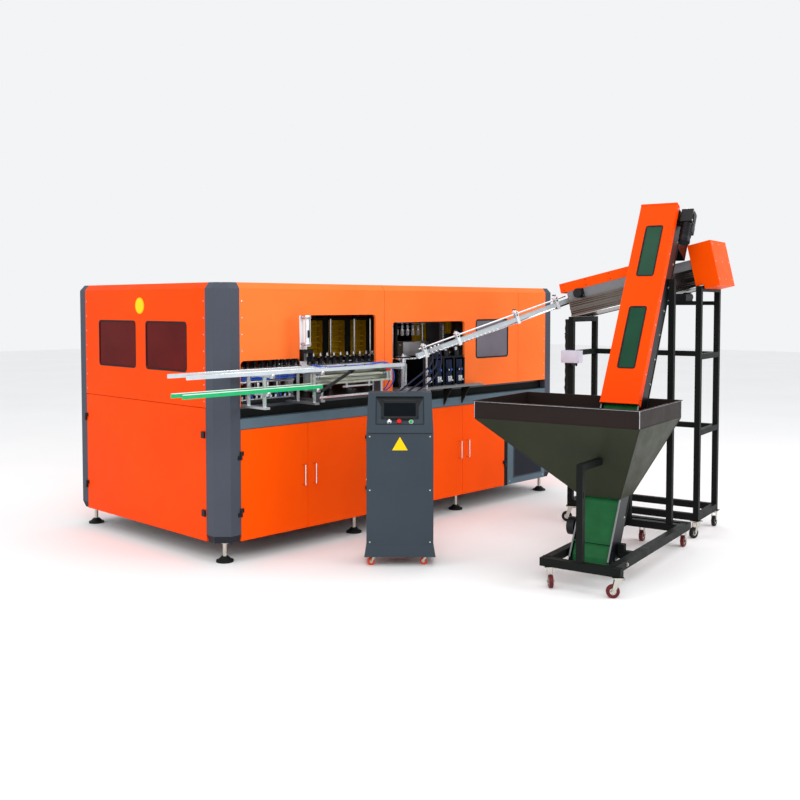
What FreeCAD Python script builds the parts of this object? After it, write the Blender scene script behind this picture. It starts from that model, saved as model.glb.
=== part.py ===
"""Automatic bottle blow moulding machine with its control console and its
preform feeder (hopper, elevator conveyor and inclined sorter).  Millimetres.

Places on the main machine are measured from the cabinet's front left corner on
the floor: x along the front, y towards the back, z up.  save() then moves the
whole machine so that the origin is the floor point under the front left foot.
"""
import FreeCAD, Part
import math
import os

os.makedirs("parts", exist_ok=True)
Vector = FreeCAD.Vector
Rotation = FreeCAD.Rotation
Placement = FreeCAD.Placement

# ---- cabinet ----
cabinet_length = 3710
cabinet_depth = 1890
cabinet_height = 1850
floor_gap = 137              # from the floor to the underside of the cabinet
foot_inset = 100             # corner feet, in from both outer faces
middle_feet_x = (1274, 2436)
post_width = 160             # corner post, along each outer face
post_chamfer = 80            # flat cut off the post's outer corner
post_cap = 48                # height of the dark cap under each post
top_bevel = 32               # how far the top edge leans in
top_bevel_height = 40
sheet = 2                    # thickness of the folded sheets
panel_depth = 20             # width of the folded edges of a panel
panel_seam = 4               # gap between two panels side by side
frame_bar = 40               # square bars of the inner frame
table_top = 1030             # work table, and the lower edge of the upper covers
table_thickness = 20
table_setback = 60           # the table's front edge behind the front face
ledge_top = 950
ledge_bottom = 882
door_bottom = 142
door_gap = 3
top_seams = (1500, 3150)     # seams of the front upper covers
rear_seams = (1240, 2470)

# openings of the front covers: x from, x to, top
outlet_opening = (165, 680, 1333)
process_opening = (681, 1410, 1630)
infeed_opening = (1587, 2430, 1570)
opening_corner = 30
front_window = (2580, 3000, 1264, 1575)
end_windows = ((378, 873, 1257, 1583), (1020, 1520, 1257, 1583))
window_corner = 28
window_lap = 15              # the pane's edge hidden behind the sheet
pane_thickness = 4

# ---- doors ----
# hinge side x, free side x, hinge on the left?
front_doors = ((160, 739.5, True), (1320, 739.5, False), (1850, 2408, True), (2966, 2408, False))
front_hinge_heights = (332, 710)
end_hinge_heights = (328, 848)
hinge_stand_off = 8          # the pin's centre in front of the door face
hinge_leaf = 22
hinge_height = 54
hinge_pin = 4
pin_clearance = 0.08
knuckle_gap = 0.4
handle_offset = 49           # from the seam between a pair of doors
handle_heights = (452, 588)
handle_reach = 35
handle_radius = 5
vent_frame = (3010, 3550)
vent_opening = (3097, 3494, 200, 840)

# ---- process units on the table ----
chain_front_y = 150
chain_radius = 140
chain_ends_x = (330, 1530)
chain_top = 1250
mandrel_pitch = 66
mandrel_radius = 13
mandrel_height = 62
oven_x = (900, 1910)
oven_y = (560, 700)
oven_z = (1270, 1600)
oven_bar = 65
oven_bays = 4
mould_centre = (2170, 400)
mould_size = (310, 99, 310)  # one half: along x, along y, height
mould_bottom = 1090
mould_gap = 2                # between the closed halves
mould_stroke = 55
cavity_count = 4
cavity_pitch = 70
guide_radius = 12
guide_spread = 180           # guide columns, left and right of the mould's centre
slide_clearance = 0.08
nozzle_count = 5
nozzle_pitch = 64
nozzle_tip = 1447
nozzle_carriage_z = (1560, 1585)
top_platen_z = (1640, 1670)
lift_sleeve = 50             # sleeve that keeps hold of the nozzle stem

# ---- outfeed ----
rail_left = -450
upper_rails_y = (-300, -100)
upper_rail_z = (1258, 1282)
upper_rail_right = 1400
lower_rails_y = (-255, -135)
lower_rail_z = (1140, 1165)
lower_rail_right = 650
rail_width = 14
rail_posts_x = (190, 610)
rail_posts_y = (-220, -50)
outfeed_foot_top = 1045
actuator_x = (650, 1430)
actuator_y = (-140, -60)
actuator_z = (1150, 1258)
gripper_x = 625
gripper_z = (1320, 1400)
gripper_cylinder_z = (1420, 1630)

# ---- infeed ----
shelf_z = (1042, 1057)
shelf_x = (1640, 2560)
shelf_front = -92
infeed_box_x = (1905, 2410)
infeed_box_y = (-20, 180)
infeed_box_z = (1085, 1300)
star_centre = (1720, 20)
star_radius = 105
star_z = (1288, 1296)
star_pockets = 12
pocket_radius = 14
chute_low = (1750, -100, 1310)
chute_high = (2914, -757, 1756)
chute_half_gap = 17
chute_rail = (6, 40)
chute_slot_gap = 0.4

# ---- control console ----
console_place = (819, -821)
console_turn = -45.9
console_width = 436
console_depth = 300
console_heights = (64, 140, 880, 1120)   # casters, plinth, slope starts, top
console_plinth_flare = 14
console_top_width = 418
console_slope_depth = 170
recess_width = 312
recess_span = (57, 263)      # up the slope
recess_depth = 8
screen_size = (236, 129)
screen_low = 104
button_row = 77
button_x = (-69, -5, 73)     # selector, stop, start
button_ring = (15, 11.4, 5)  # outer radius, inner radius, height
stem_radius = 5
console_caster = (64, 25, 20, 18)

# ---- preform feeder ----
feeder_place = (1162, -2000)
feeder_turn = 10.5
feeder_bar = 50
cart_caster = (125, 40, 26, 28)          # height, wheel radius, width, trail
cart_beam = 50
cart_front = (-240, 272)
cart_sides_y = (-170, 247)
cart_length = 1450
hopper_rim = (190, 960, -265, 840, 965, 1080)
hopper_outlet = (430, 640, 490)          # x from, x to, z
hopper_sheet = 3
elevator_lean = 28.9
elevator_base = 170
elevator_y = (-59, 199)
elevator_depth = 150
elevator_span = (130, 2740)
elevator_plate = 6
drum_radius = 46
drum_heights = (190, 2680)
guard_height = 372
belt_thickness = 4
cleat_height = 20
cleat_pitch = 300
cover_span = (1200, 2750)
cover_stand_off = 26
cover_wrap = 30
cover_windows = ((1457, 1913), (2163, 2559))
cover_window_half = 55
stand_place = (2695, -836)
stand_size = (1030, 500)
stand_bar = 40
sorter_slope = 13.0
sorter_low = 1610
sorter_length = 1060
sorter_y = (60, 440)
sorter_trough_height = 130
sorter_panel_height = 200
sorter_height = 270
roller_radius = 45
roller_centres = (190, 310)
roller_z = 110

AXES = {"x": Vector(1, 0, 0), "y": Vector(0, 1, 0), "z": Vector(0, 0, 1)}


def at(axis, a, b, along):
    """A point from its place along `axis` and the two others in x, y, z order."""
    if axis == "x":
        return Vector(along, a, b)
    if axis == "y":
        return Vector(a, along, b)
    return Vector(a, b, along)


def box(x0, x1, y0, y1, z0, z1):
    return Part.makeBox(x1 - x0, y1 - y0, z1 - z0, Vector(x0, y0, z0))


def rod(start, end, radius):
    start, end = Vector(*start), Vector(*end)
    return Part.makeCylinder(radius, start.distanceToPoint(end), start, end - start)


def cone(start, end, start_radius, end_radius):
    start, end = Vector(*start), Vector(*end)
    return Part.makeCone(start_radius, end_radius, start.distanceToPoint(end), start, end - start)


def prism(axis, low, high, points):
    """A polygon in the two other axes, pushed along `axis`."""
    corners = [at(axis, a, b, low) for a, b in points]
    face = Part.Face(Part.makePolygon(corners + corners[:1]))
    return face.extrude(at(axis, 0, 0, high - low))


def rounded_block(axis, low, high, a0, a1, b0, b1, radius):
    """A block whose four edges along `axis` are rounded."""
    block = prism(axis, low, high, [(a0, b0), (a1, b0), (a1, b1), (a0, b1)])
    edges = [e for e in block.Edges if abs(abs(e.tangentAt(e.FirstParameter).dot(AXES[axis])) - 1) < 1e-6]
    return block.makeFillet(radius, edges)


def weld(shapes):
    """One solid from pieces that touch or overlap."""
    return shapes[0].multiFuse(shapes[1:]).removeSplitter()


def members(shapes):
    """Separate solids that meet face to face: each piece stops at the ones before it."""
    kept = []
    for shape in shapes:
        for other in kept:
            if shape.BoundBox.intersect(other.BoundBox):
                shape = shape.cut(other)
        kept += shape.Solids
    return kept


def tapered(low, high):
    """A solid between two rectangles (x0, x1, y0, y1, z)."""
    wires = []
    for x0, x1, y0, y1, z in (low, high):
        corners = [Vector(x0, y0, z), Vector(x1, y0, z), Vector(x1, y1, z), Vector(x0, y1, z)]
        wires.append(Part.makePolygon(corners + corners[:1]))
    return Part.makeLoft(wires, True, True)


def placed(shapes, base, turn):
    """Copies of shapes built round (0, 0), set down on the floor plan."""
    place = Placement(Vector(base[0], base[1], 0), Rotation(Vector(0, 0, 1), turn))
    return [s.transformed(place.toMatrix()) for s in shapes]


def save(name, shapes):
    """Writes one node, with the origin under the front left foot."""
    solids = [solid for shape in shapes for solid in shape.Solids]
    group = solids[0] if len(solids) == 1 else Part.makeCompound(solids)
    shift = Placement(Vector(-foot_inset, -foot_inset, 0), Rotation())
    group.transformed(shift.toMatrix()).exportStep(f"parts/{name}.step")


def panel(axis, face, toward, a0, a1, b0, b1, openings=(), windows=()):
    """A folded sheet panel: its skin at `face`, its edges folded `toward` +1 or -1.

    An opening has its own folded edges; a window is cut in the skin alone.
    """
    back = face + toward * panel_depth
    skin = face + toward * sheet
    low, high = min(face, back), max(face, back)
    body = prism(axis, low, high, [(a0, b0), (a1, b0), (a1, b1), (a0, b1)])
    inside = [(a0 + sheet, b0 + sheet), (a1 - sheet, b0 + sheet), (a1 - sheet, b1 - sheet), (a0 + sheet, b1 - sheet)]
    pocket_ends = sorted((skin, back + toward))
    pocket = prism(axis, pocket_ends[0], pocket_ends[1], inside)
    for o0, o1, p0, p1, radius in openings:
        edge = rounded_block(axis, low - 1, high + 1, o0 - sheet, o1 + sheet, p0 - sheet, p1 + sheet, radius + sheet)
        pocket = pocket.cut(edge)
        body = body.cut(rounded_block(axis, low - 1, high + 1, o0, o1, p0, p1, radius))
    for w0, w1, q0, q1 in windows:
        body = body.cut(rounded_block(axis, low - 1, high + 1, w0, w1, q0, q1, window_corner))
    return body.cut(pocket)


# ---------------------------------------------------------------- cabinet
def post_outline(inset, z, wall=0):
    """The front left corner post's section, its three outer faces moved in by `inset`."""
    lean = inset * (math.sqrt(2) - 1)
    inner = 50 - wall
    points = [
        (inset, post_width - wall),
        (inset, post_chamfer + lean),
        (post_chamfer + lean, inset),
        (post_width - wall, inset),
        (post_width - wall, inner),
        (inner, post_width - wall),
    ]
    corners = [Vector(x, y, z) for x, y in points]
    return Part.makePolygon(corners + corners[:1])


def mirrored(shape, x=False, y=False):
    """The same piece on the right (x) or at the back (y) of the cabinet."""
    if x:
        shape = shape.mirror(Vector(cabinet_length / 2, 0, 0), Vector(1, 0, 0))
    if y:
        shape = shape.mirror(Vector(0, cabinet_depth / 2, 0), Vector(0, 1, 0))
    return shape


CORNERS = [(False, False), (True, False), (False, True), (True, True)]


def corner_posts():
    top = cabinet_height - top_bevel_height
    foot = floor_gap + post_cap
    tube = Part.Face(post_outline(0, foot)).extrude(Vector(0, 0, top - foot))
    hollow = Part.Face(post_outline(sheet, foot, sheet)).extrude(Vector(0, 0, top - foot))
    crown = Part.makeLoft([post_outline(0, top), post_outline(top_bevel, cabinet_height)], True, True)
    post = weld([tube.cut(hollow), crown])
    cap = Part.makeLoft([post_outline(20, floor_gap), post_outline(0, foot)], True, True)
    return [mirrored(piece, x, y) for x, y in CORNERS for piece in (post, cap)]


def front_cover(x0, x1, openings=(), windows=()):
    """A front panel with the leaning strip along its top edge."""
    shoulder = cabinet_height - top_bevel_height
    flat = panel("y", 0, 1, x0, x1, table_top, shoulder, openings, windows)
    return weld([flat, bevel_strip(x0, x1)])


def bevel_strip(low, high):
    shoulder = cabinet_height - top_bevel_height
    inner = top_bevel + 1
    strip = [
        (0, shoulder),
        (top_bevel, cabinet_height),
        (frame_bar + panel_depth, cabinet_height),
        (frame_bar + panel_depth, cabinet_height - sheet),
        (inner, cabinet_height - sheet),
        (sheet + 1, shoulder),
    ]
    return prism("x", low, high, strip)


def cabinet_covers():
    left, right = post_width, cabinet_length - post_width
    half = panel_seam / 2
    spans = [(left, top_seams[0] - half), (top_seams[0] + half, top_seams[1] - half), (top_seams[1] + half, right)]
    below = table_top - 100
    outlet = (outlet_opening[0], outlet_opening[1], below, outlet_opening[2], opening_corner)
    process = (process_opening[0] - 1, process_opening[1], below, process_opening[2], opening_corner)
    infeed = (infeed_opening[0], infeed_opening[1], below, infeed_opening[2], opening_corner)
    covers = [
        front_cover(*spans[0], openings=[outlet, process]),
        front_cover(*spans[1], openings=[infeed], windows=[front_window]),
        front_cover(*spans[2]),
    ]
    rear = [left, *rear_seams, right]
    for start, end in zip(rear[:-1], rear[1:]):
        covers.append(mirrored(front_cover(start + half * (start != left), end - half * (end != right)), y=True))
    return covers


def side_and_lower_covers():
    low, high = post_width, cabinet_depth - post_width
    shoulder = cabinet_height - top_bevel_height
    strip = end_strip(low, high)
    left = weld([panel("x", 0, 1, low, high, table_top - panel_seam, shoulder, (), end_windows), strip])
    right = mirrored(weld([panel("x", 0, 1, low, high, table_top - panel_seam, shoulder), strip]), x=True)
    lower_right = mirrored(panel("x", 0, 1, low, high, door_bottom, table_top - 2 * panel_seam), x=True)
    plain = front_doors[1][0], front_doors[2][0]
    lower_front = panel("y", 0, 1, plain[0], plain[1], door_bottom, ledge_bottom)
    pieces = [left, right, lower_right, lower_front]
    half = panel_seam / 2
    rear = [post_width, *rear_seams, cabinet_length - post_width]
    for start, end in zip(rear[:-1], rear[1:]):
        x0 = start + half * (start != rear[0])
        x1 = end - half * (end != rear[-1])
        pieces.append(mirrored(panel("y", 0, 1, x0, x1, door_bottom, table_top - panel_seam), y=True))
    edge = frame_bar + panel_depth
    for start, end in zip(rear[:-1], rear[1:]):
        x0 = edge if start == rear[0] else start + half
        x1 = cabinet_length - edge if end == rear[-1] else end - half
        roof = panel("z", cabinet_height, -1, x0, x1, edge, cabinet_depth - edge)
        for post in corner_posts():
            roof = roof.cut(post)
        pieces.append(roof)
    return pieces


def end_strip(low, high):
    """The leaning strip along the top of an end cover."""
    shoulder = cabinet_height - top_bevel_height
    inner = top_bevel + 1
    edge = frame_bar + panel_depth
    top = cabinet_height
    strip = [(0, shoulder), (top_bevel, top), (edge, top), (edge, top - sheet), (inner, top - sheet), (sheet + 1, shoulder)]
    return prism("y", low, high, strip)


def base_frame():
    left, right = post_width, cabinet_length - post_width
    near, far = post_width, cabinet_depth - post_width
    inset = panel_depth
    sill = 100
    sill_top = floor_gap + 60
    bars = []
    for y0 in (inset + 5, cabinet_depth - inset - 5 - sill):
        bars.append(box(left, right, y0, y0 + sill, floor_gap, sill_top))
    for x0 in (inset + 5, cabinet_length - inset - 5 - sill):
        bars.append(box(x0, x0 + sill, near, far, floor_gap, sill_top))
    deck = box(inset + 5, cabinet_length - inset - 5, table_setback, cabinet_depth - inset - 5,
               table_top - table_thickness, table_top)
    for x, y in CORNERS:
        deck = deck.cut(mirrored(box(0, post_width, 0, post_width, 0, cabinet_height), x, y))
    bars.append(deck)
    bars.append(box(left, right, table_setback, table_setback + inset, ledge_top, table_top - table_thickness))
    bars.append(box(left, right, 0, table_setback + inset, ledge_bottom, ledge_top))
    rear_face = cabinet_depth - inset
    bars.append(box(left, right, rear_face - frame_bar, rear_face, ledge_bottom, table_top - table_thickness))
    head = cabinet_height - top_bevel_height - frame_bar
    for y0 in (inset, rear_face - frame_bar):
        bars.append(box(left, right, y0, y0 + frame_bar, head, head + frame_bar))
    for x0 in (inset, cabinet_length - inset - frame_bar):
        bars.append(box(x0, x0 + frame_bar, near, far, head, head + frame_bar))
    for seam in top_seams:
        bars.append(box(seam - frame_bar / 2, seam + frame_bar / 2, inset, inset + frame_bar, table_top - 2, head + 2))
    for seam in rear_seams:
        x0, x1 = seam - frame_bar / 2, seam + frame_bar / 2
        bars.append(box(x0, x1, rear_face - frame_bar, rear_face, sill_top - 2, head + 2))
    plain = front_doors[1][0], front_doors[2][0]
    for x0 in (plain[0], plain[1] - frame_bar):
        bars.append(box(x0, x0 + frame_bar, inset, inset + frame_bar, sill_top - 2, ledge_bottom + 2))
    mullion = front_doors[3][0]
    bars.append(box(mullion, vent_frame[0], 0, inset + frame_bar, floor_gap, ledge_bottom + 2))
    bars.append(box(mullion - 40, mullion, inset + 5, inset + frame_bar, floor_gap, ledge_bottom + 2))
    frame = members(bars)
    glands = [rod((x, table_setback - 18, z), (x, table_setback, z), 11) for x, z in GLANDS]
    return frame + glands


GLANDS = ((1470, 985), (1508, 985), (1546, 985))


def window_panes():
    inner = (sheet, sheet + pane_thickness)
    panes = []
    for y0, y1, z0, z1 in end_windows:
        panes.append(box(*inner, y0 - window_lap, y1 + window_lap, z0 - window_lap, z1 + window_lap))
    x0, x1, z0, z1 = front_window
    panes.append(box(x0 - window_lap, x1 + window_lap, *inner, z0 - window_lap, z1 + window_lap))
    return panes


def levelling_feet():
    pad, stem = 58, 14
    feet = []
    corners_x = (foot_inset, cabinet_length - foot_inset)
    for x in sorted(corners_x + middle_feet_x):
        for y in (foot_inset, cabinet_depth - foot_inset):
            pieces = [
                rod((x, y, 0), (x, y, 12), pad),
                cone((x, y, 12), (x, y, 40), pad - 8, stem + 6),
                rod((x, y, 39), (x, y, floor_gap), stem),
                prism("z", floor_gap - 16, floor_gap, hexagon(x, y, 24)),
            ]
            feet.append(weld(pieces))
    return feet


def hexagon(x, y, radius):
    return [(x + radius * math.cos(math.radians(60 * i)), y + radius * math.sin(math.radians(60 * i))) for i in range(6)]


def vent_panel():
    x0, x1 = vent_frame
    v0, v1, w0, w1 = vent_opening
    frame = panel("y", 0, 1, x0, x1, door_bottom, ledge_bottom)
    frame = frame.cut(box(v0, v1, -1, panel_depth + 1, w0, w1))
    mesh = box(v0 - window_lap, v1 + window_lap, sheet, sheet + sheet, w0 - window_lap, w1 + window_lap)
    return [frame, mesh]


# ---------------------------------------------------------------- doors
def knuckle(x, y, z0, z1, leaf_from, leaf_to, bore):
    """A hinge knuckle round a vertical pin, with a leaf on one side of it."""
    radius = hinge_stand_off
    low, high = sorted((leaf_from, leaf_to))
    shape = weld([rod((x, y, z0), (x, y, z1), radius), box(low, high, y, y + radius, z0, z1)])
    if bore:
        shape = shape.cut(rod((x, y, z0 - 1), (x, y, z1 + 1), hinge_pin + pin_clearance))
    return shape


def hinge(x, z, door_side):
    """Fixed half with its pin, and the door's half above it (door_side is +1 or -1)."""
    y = -hinge_stand_off
    half = hinge_height / 2
    fixed = knuckle(x, y, z - half, z - knuckle_gap / 2, x - door_side * hinge_leaf, x, False)
    fixed = weld([fixed, rod((x, y, z - half), (x, y, z + half), hinge_pin)])
    moving = knuckle(x, y, z + knuckle_gap / 2, z + half, x, x + door_side * hinge_leaf, True)
    return fixed, moving


def bow_handle(x):
    low, high = handle_heights
    y = -handle_reach
    return weld([
        rod((x, 0, low), (x, y, low), handle_radius),
        rod((x, 0, high), (x, y, high), handle_radius),
        rod((x, y, low), (x, y, high), handle_radius),
        Part.makeSphere(handle_radius, Vector(x, y, low)),
        Part.makeSphere(handle_radius, Vector(x, y, high)),
    ])


def front_door(hinge_x, free_x, on_left):
    """A front door leaf, its handle and its hinge halves."""
    side = 1 if on_left else -1
    x0, x1 = sorted((hinge_x + side * door_gap, free_x - side * door_gap / 2))
    leaf = panel("y", 0, 1, x0, x1, door_bottom, ledge_bottom - panel_seam)
    moving = [leaf, bow_handle(free_x - side * handle_offset)]
    fixed = []
    for z in front_hinge_heights:
        still, turning = hinge(hinge_x, z, side)
        fixed.append(still)
        moving.append(turning)
    return moving, fixed


def end_door():
    """The full-width door in the left end, hinged at the back, with two latch blocks."""
    y_hinge = cabinet_depth - post_width
    leaf = panel("x", 0, 1, post_width + door_gap, y_hinge - door_gap, door_bottom, table_top - 2 * panel_seam)
    moving, fixed = [leaf], []
    for z in end_hinge_heights:
        still, turning = hinge(y_hinge, z, -1)
        # the front hinge, turned to lie on the left end face
        turn = Placement(Vector(0, 0, 0), Rotation(Vector(0, 0, 1), 90)).toMatrix()
        flip = [s.mirror(Vector(0, 0, 0), Vector(0, 1, 0)).transformed(turn) for s in (still, turning)]
        fixed.append(flip[0])
        moving.append(flip[1])
        latch_y = post_width + door_gap + 4
        moving.append(box(-12, 0, latch_y, latch_y + 34, z - 22, z + 22))
    return moving, fixed


# ---------------------------------------------------------------- process units
def chain_path(offset):
    """A loop round the two sprockets, `offset` outside their pitch line."""
    y = chain_front_y + chain_radius
    radius = chain_radius + offset
    left, right = chain_ends_x
    z = chain_top - 20
    top, bottom = Vector(left, y + radius, z), Vector(left, y - radius, z)
    far_bottom, far_top = Vector(right, y - radius, z), Vector(right, y + radius, z)
    edges = [
        Part.LineSegment(bottom, far_bottom).toShape(),
        Part.Arc(far_bottom, Vector(right + radius, y, z), far_top).toShape(),
        Part.LineSegment(far_top, top).toShape(),
        Part.Arc(top, Vector(left - radius, y, z), bottom).toShape(),
    ]
    return Part.Face(Part.Wire(edges))


def mandrel(x, y):
    top = chain_top + mandrel_height
    return weld([
        rod((x, y, chain_top), (x, y, chain_top + 8), mandrel_radius + 4),
        rod((x, y, chain_top), (x, y, top), mandrel_radius),
        rod((x, y, chain_top + 30), (x, y, chain_top + 36), mandrel_radius + 5),
    ])


def heating_line():
    """Preform carrying chain with its mandrels, and the lamp oven behind it."""
    left, right = chain_ends_x
    front, back = chain_front_y, chain_front_y + 2 * chain_radius
    track = chain_path(22).extrude(Vector(0, 0, 20)).cut(chain_path(-22).extrude(Vector(0, 0, 20)))
    pieces = [track]
    count = int((right - left) // mandrel_pitch)
    for i in range(count + 1):
        x = left + i * mandrel_pitch
        pieces += [mandrel(x, front), mandrel(x, back)]
    steps = int(math.pi * chain_radius // mandrel_pitch)
    for i in range(1, steps):
        turn = math.pi * i / steps
        across = chain_radius * math.cos(turn)
        out = chain_radius * math.sin(turn)
        y = (front + back) / 2 + across
        pieces.append(mandrel(left - out, y))
        pieces.append(mandrel(right + out, y))
    for x in (left, (left + right) / 2, right):
        for y in (front, back):
            pieces.append(box(x - 25, x + 25, y - 15, y + 15, table_top, chain_top - 20))
    x0, x1 = oven_x
    y0, y1 = oven_y
    z0, z1 = oven_z
    housing = box(x0, x1, y0, y1, z0, z1)
    bay = (x1 - x0 - oven_bar * (oven_bays + 1)) / oven_bays
    reflectors = []
    for i in range(oven_bays):
        b0 = x0 + oven_bar + i * (bay + oven_bar)
        housing = housing.cut(box(b0, b0 + bay, y0 - 1, y0 + 70, z0 + 20, z1 - 20))
        reflectors.append(box(b0, b0 + bay, y0 + 66, y0 + 70, z0 + 20, z1 - 20))
        for j in range(6):
            z = z0 + 50 + j * 44
            reflectors.append(rod((b0, y0 + 35, z), (b0 + bay, y0 + 35, z), 6))
    pieces += [housing] + reflectors
    for x in (x0 + 30, x1 - 30):
        pieces.append(box(x - 20, x + 20, y0 + 20, y1 - 20, table_top, z0))
    return pieces


def bottle_cavity(x, y):
    """A plain bottle, standing upside down with its neck at the top of the mould."""
    top = mould_bottom + mould_size[2]
    profile = [(0, top - 250), (26, top - 250), (30, top - 238), (30, top - 90), (13, top - 50), (13, top + 1), (0, top + 1)]
    corners = [Vector(x + r, y, z) for r, z in profile]
    return Part.Face(Part.makePolygon(corners + corners[:1])).revolve(Vector(x, y, 0), Vector(0, 0, 1), 360)


def mould_half(side):
    """One mould half with its backing plate; side is -1 at the front, +1 at the back."""
    cx, cy = mould_centre
    width, depth, height = mould_size
    inner = cy + side * mould_gap / 2
    y0, y1 = sorted((inner, inner + side * depth))
    block = box(cx - width / 2, cx + width / 2, y0, y1, mould_bottom, mould_bottom + height)
    for i in range(cavity_count):
        x = cx + (i - (cavity_count - 1) / 2) * cavity_pitch
        block = block.cut(bottle_cavity(x, cy))
    return [block]


def blow_station():
    """Bed, guide columns and top platen of the clamping station, and service panels."""
    cx, cy = mould_centre
    width, depth, height = mould_size
    reach = depth + mould_stroke + 20
    bed = box(cx - width / 2 - 60, cx + width / 2 + 60, cy - reach, cy + reach, table_top, mould_bottom - 0.4)
    for side in (-1, 1):
        y0, y1 = sorted((cy + side * (mould_gap / 2 + depth + mould_stroke + 2), cy + side * reach))
        bed = weld([bed, box(cx - width / 2, cx + width / 2, y0, y1, mould_bottom - 1, mould_bottom + 40)])
    platen = box(cx - guide_spread - 40, cx + guide_spread + 40, cy - 90, cy + 90, *top_platen_z)
    pieces = [bed, platen]
    for side in (-1, 1):
        x = cx + side * guide_spread
        pieces.append(rod((x, cy, mould_bottom - 0.4), (x, cy, top_platen_z[0]), guide_radius))
    lift = rod((cx, cy, top_platen_z[0] - lift_sleeve), (cx, cy, top_platen_z[0]), 26)
    lift = lift.cut(rod((cx, cy, top_platen_z[0] - lift_sleeve - 1), (cx, cy, top_platen_z[0] - 0.5), 8 + slide_clearance))
    pieces.append(lift)
    pieces.append(box(2590, 2880, 560, 570, table_top, 1610))
    pieces.append(box(2400, 2574, 560, 570, table_top, 1610))
    pieces.append(box(2945, 3120, 560, 570, table_top, 1610))
    return pieces


def nozzle_carriage():
    """Carriage with five blowing nozzles, sliding on the two guide columns."""
    cx, cy = mould_centre
    z0, z1 = nozzle_carriage_z
    half = guide_spread + 28
    plate = box(cx - half, cx + half, cy - 40, cy + 40, z0, z1)
    sleeves = []
    for side in (-1, 1):
        x = cx + side * guide_spread
        sleeves.append(rod((x, cy, z0 - 20), (x, cy, z1 + 10), 22))
    body = weld([plate] + sleeves)
    for side in (-1, 1):
        x = cx + side * guide_spread
        body = body.cut(rod((x, cy, z0 - 30), (x, cy, z1 + 30), guide_radius + slide_clearance))
    stem = rod((cx, cy, z1), (cx, cy, top_platen_z[0] - 1), 8)
    pieces = [weld([body, stem])]
    for i in range(nozzle_count):
        x = cx + (i - (nozzle_count - 1) / 2) * nozzle_pitch
        neck = nozzle_tip + 45
        pieces.append(weld([
            rod((x, cy, neck), (x, cy, z0), 9),
            rod((x, cy, nozzle_tip + 12), (x, cy, neck), 15),
            cone((x, cy, nozzle_tip), (x, cy, nozzle_tip + 12), 8, 15),
        ]))
    return pieces


# ---------------------------------------------------------------- outfeed
def outfeed_line():
    """Bottle outlet rails, their posts and arms, and the transfer cylinder."""
    pieces = []
    half = rail_width / 2
    for y in upper_rails_y:
        pieces.append(box(rail_left, upper_rail_right, y - half, y + half, *upper_rail_z))
    for y in lower_rails_y:
        pieces.append(box(rail_left, lower_rail_right, y - half, y + half, *lower_rail_z))
    front = min(upper_rails_y) - half
    for x in rail_posts_x:
        bars = [
            box(x - 20, x + 20, rail_posts_y[0] - 30, table_setback + 240, table_top, outfeed_foot_top),
            box(x - 8, x + 8, front, rail_posts_y[1] + 4, upper_rail_z[0] - 20, upper_rail_z[0]),
            box(x - 8, x + 8, lower_rails_y[0] - half, rail_posts_y[1] + 4, lower_rail_z[0] - 20, lower_rail_z[0]),
        ]
        for y in rail_posts_y:
            bars.append(box(x - 12, x + 12, y - 4, y + 4, outfeed_foot_top - 1, upper_rail_z[0] - 1))
        pieces += members(bars)
    x0, x1 = actuator_x
    y0, y1 = actuator_y
    z0, z1 = actuator_z
    channel = box(x0, x1, y0, y1, z0, z1).cut(box(x0 - 1, x1 + 1, y0 - 1, y1 - 12, z0 + 14, z1 - 14))
    pieces.append(channel)
    pieces.append(rod((x0 + 40, y0 + 30, (z0 + z1) / 2), (x1 - 40, y0 + 30, (z0 + z1) / 2), 16))
    for x in (x0, x1 - 40):
        pieces.append(box(x, x + 40, y0 + 6, y1 - 12, z0 + 14, z1 - 14))
    for x in (x0 + 110, x1 - 90):
        pieces += members([
            box(x - 18, x + 18, y0, table_setback + 60, table_top, outfeed_foot_top),
            box(x - 10, x + 10, y0 + 10, y1, outfeed_foot_top - 1, z0),
        ])
    x = x1 - 60
    pieces.append(box(x - 8, x + 8, front, y0 - 0, z1 - 20, z1))
    pieces += gripper_stand()
    pieces.append(weld([
        rod((960, y0 + 20, z0 - 24), (1250, y0 + 20, z0 - 24), 8),
        box(985, 1005, y0 + 12, y0 + 28, z0 - 33, z0),
        box(1205, 1225, y0 + 12, y0 + 28, z0 - 33, z0),
    ]))
    return pieces


def gripper_stand():
    """Back plate and air cylinder that carry the bottle gripper."""
    x = gripper_x
    y = upper_rails_y[1]
    low, high = gripper_cylinder_z
    plate = box(x - 30, x + 30, y + rail_width / 2, y + rail_width / 2 + 8, upper_rail_z[0], high)
    plate = weld([plate, box(x - 30, x + 30, y - rail_width / 2, y + rail_width / 2 + 1, upper_rail_z[1], upper_rail_z[1] + 10)])
    tube = weld([rod((x, y - 22, low), (x, y - 22, high), 20), box(x - 22, x + 22, y - 40, y + rail_width / 2, low, low + 14)])
    tube = weld([tube, box(x - 22, x + 22, y - 40, y + rail_width / 2, high - 14, high)])
    tube = tube.cut(rod((x, y - 22, low - 1), (x, y - 22, high - 60), 6 + slide_clearance))
    return [plate, tube]


def gripper():
    """Gripper head on the cylinder's rod."""
    x = gripper_x
    y = upper_rails_y[1]
    z0, z1 = gripper_z
    head = weld([
        box(x - 45, x + 45, y - 40, y - 4, z1 - 26, z1),
        box(x - 45, x - 33, y - 40, y - 4, z0, z1),
        box(x + 33, x + 45, y - 40, y - 4, z0, z1),
        rod((x, y - 22, z1 - 1), (x, y - 22, gripper_cylinder_z[0] + 90), 6),
    ])
    return [head]


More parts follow.
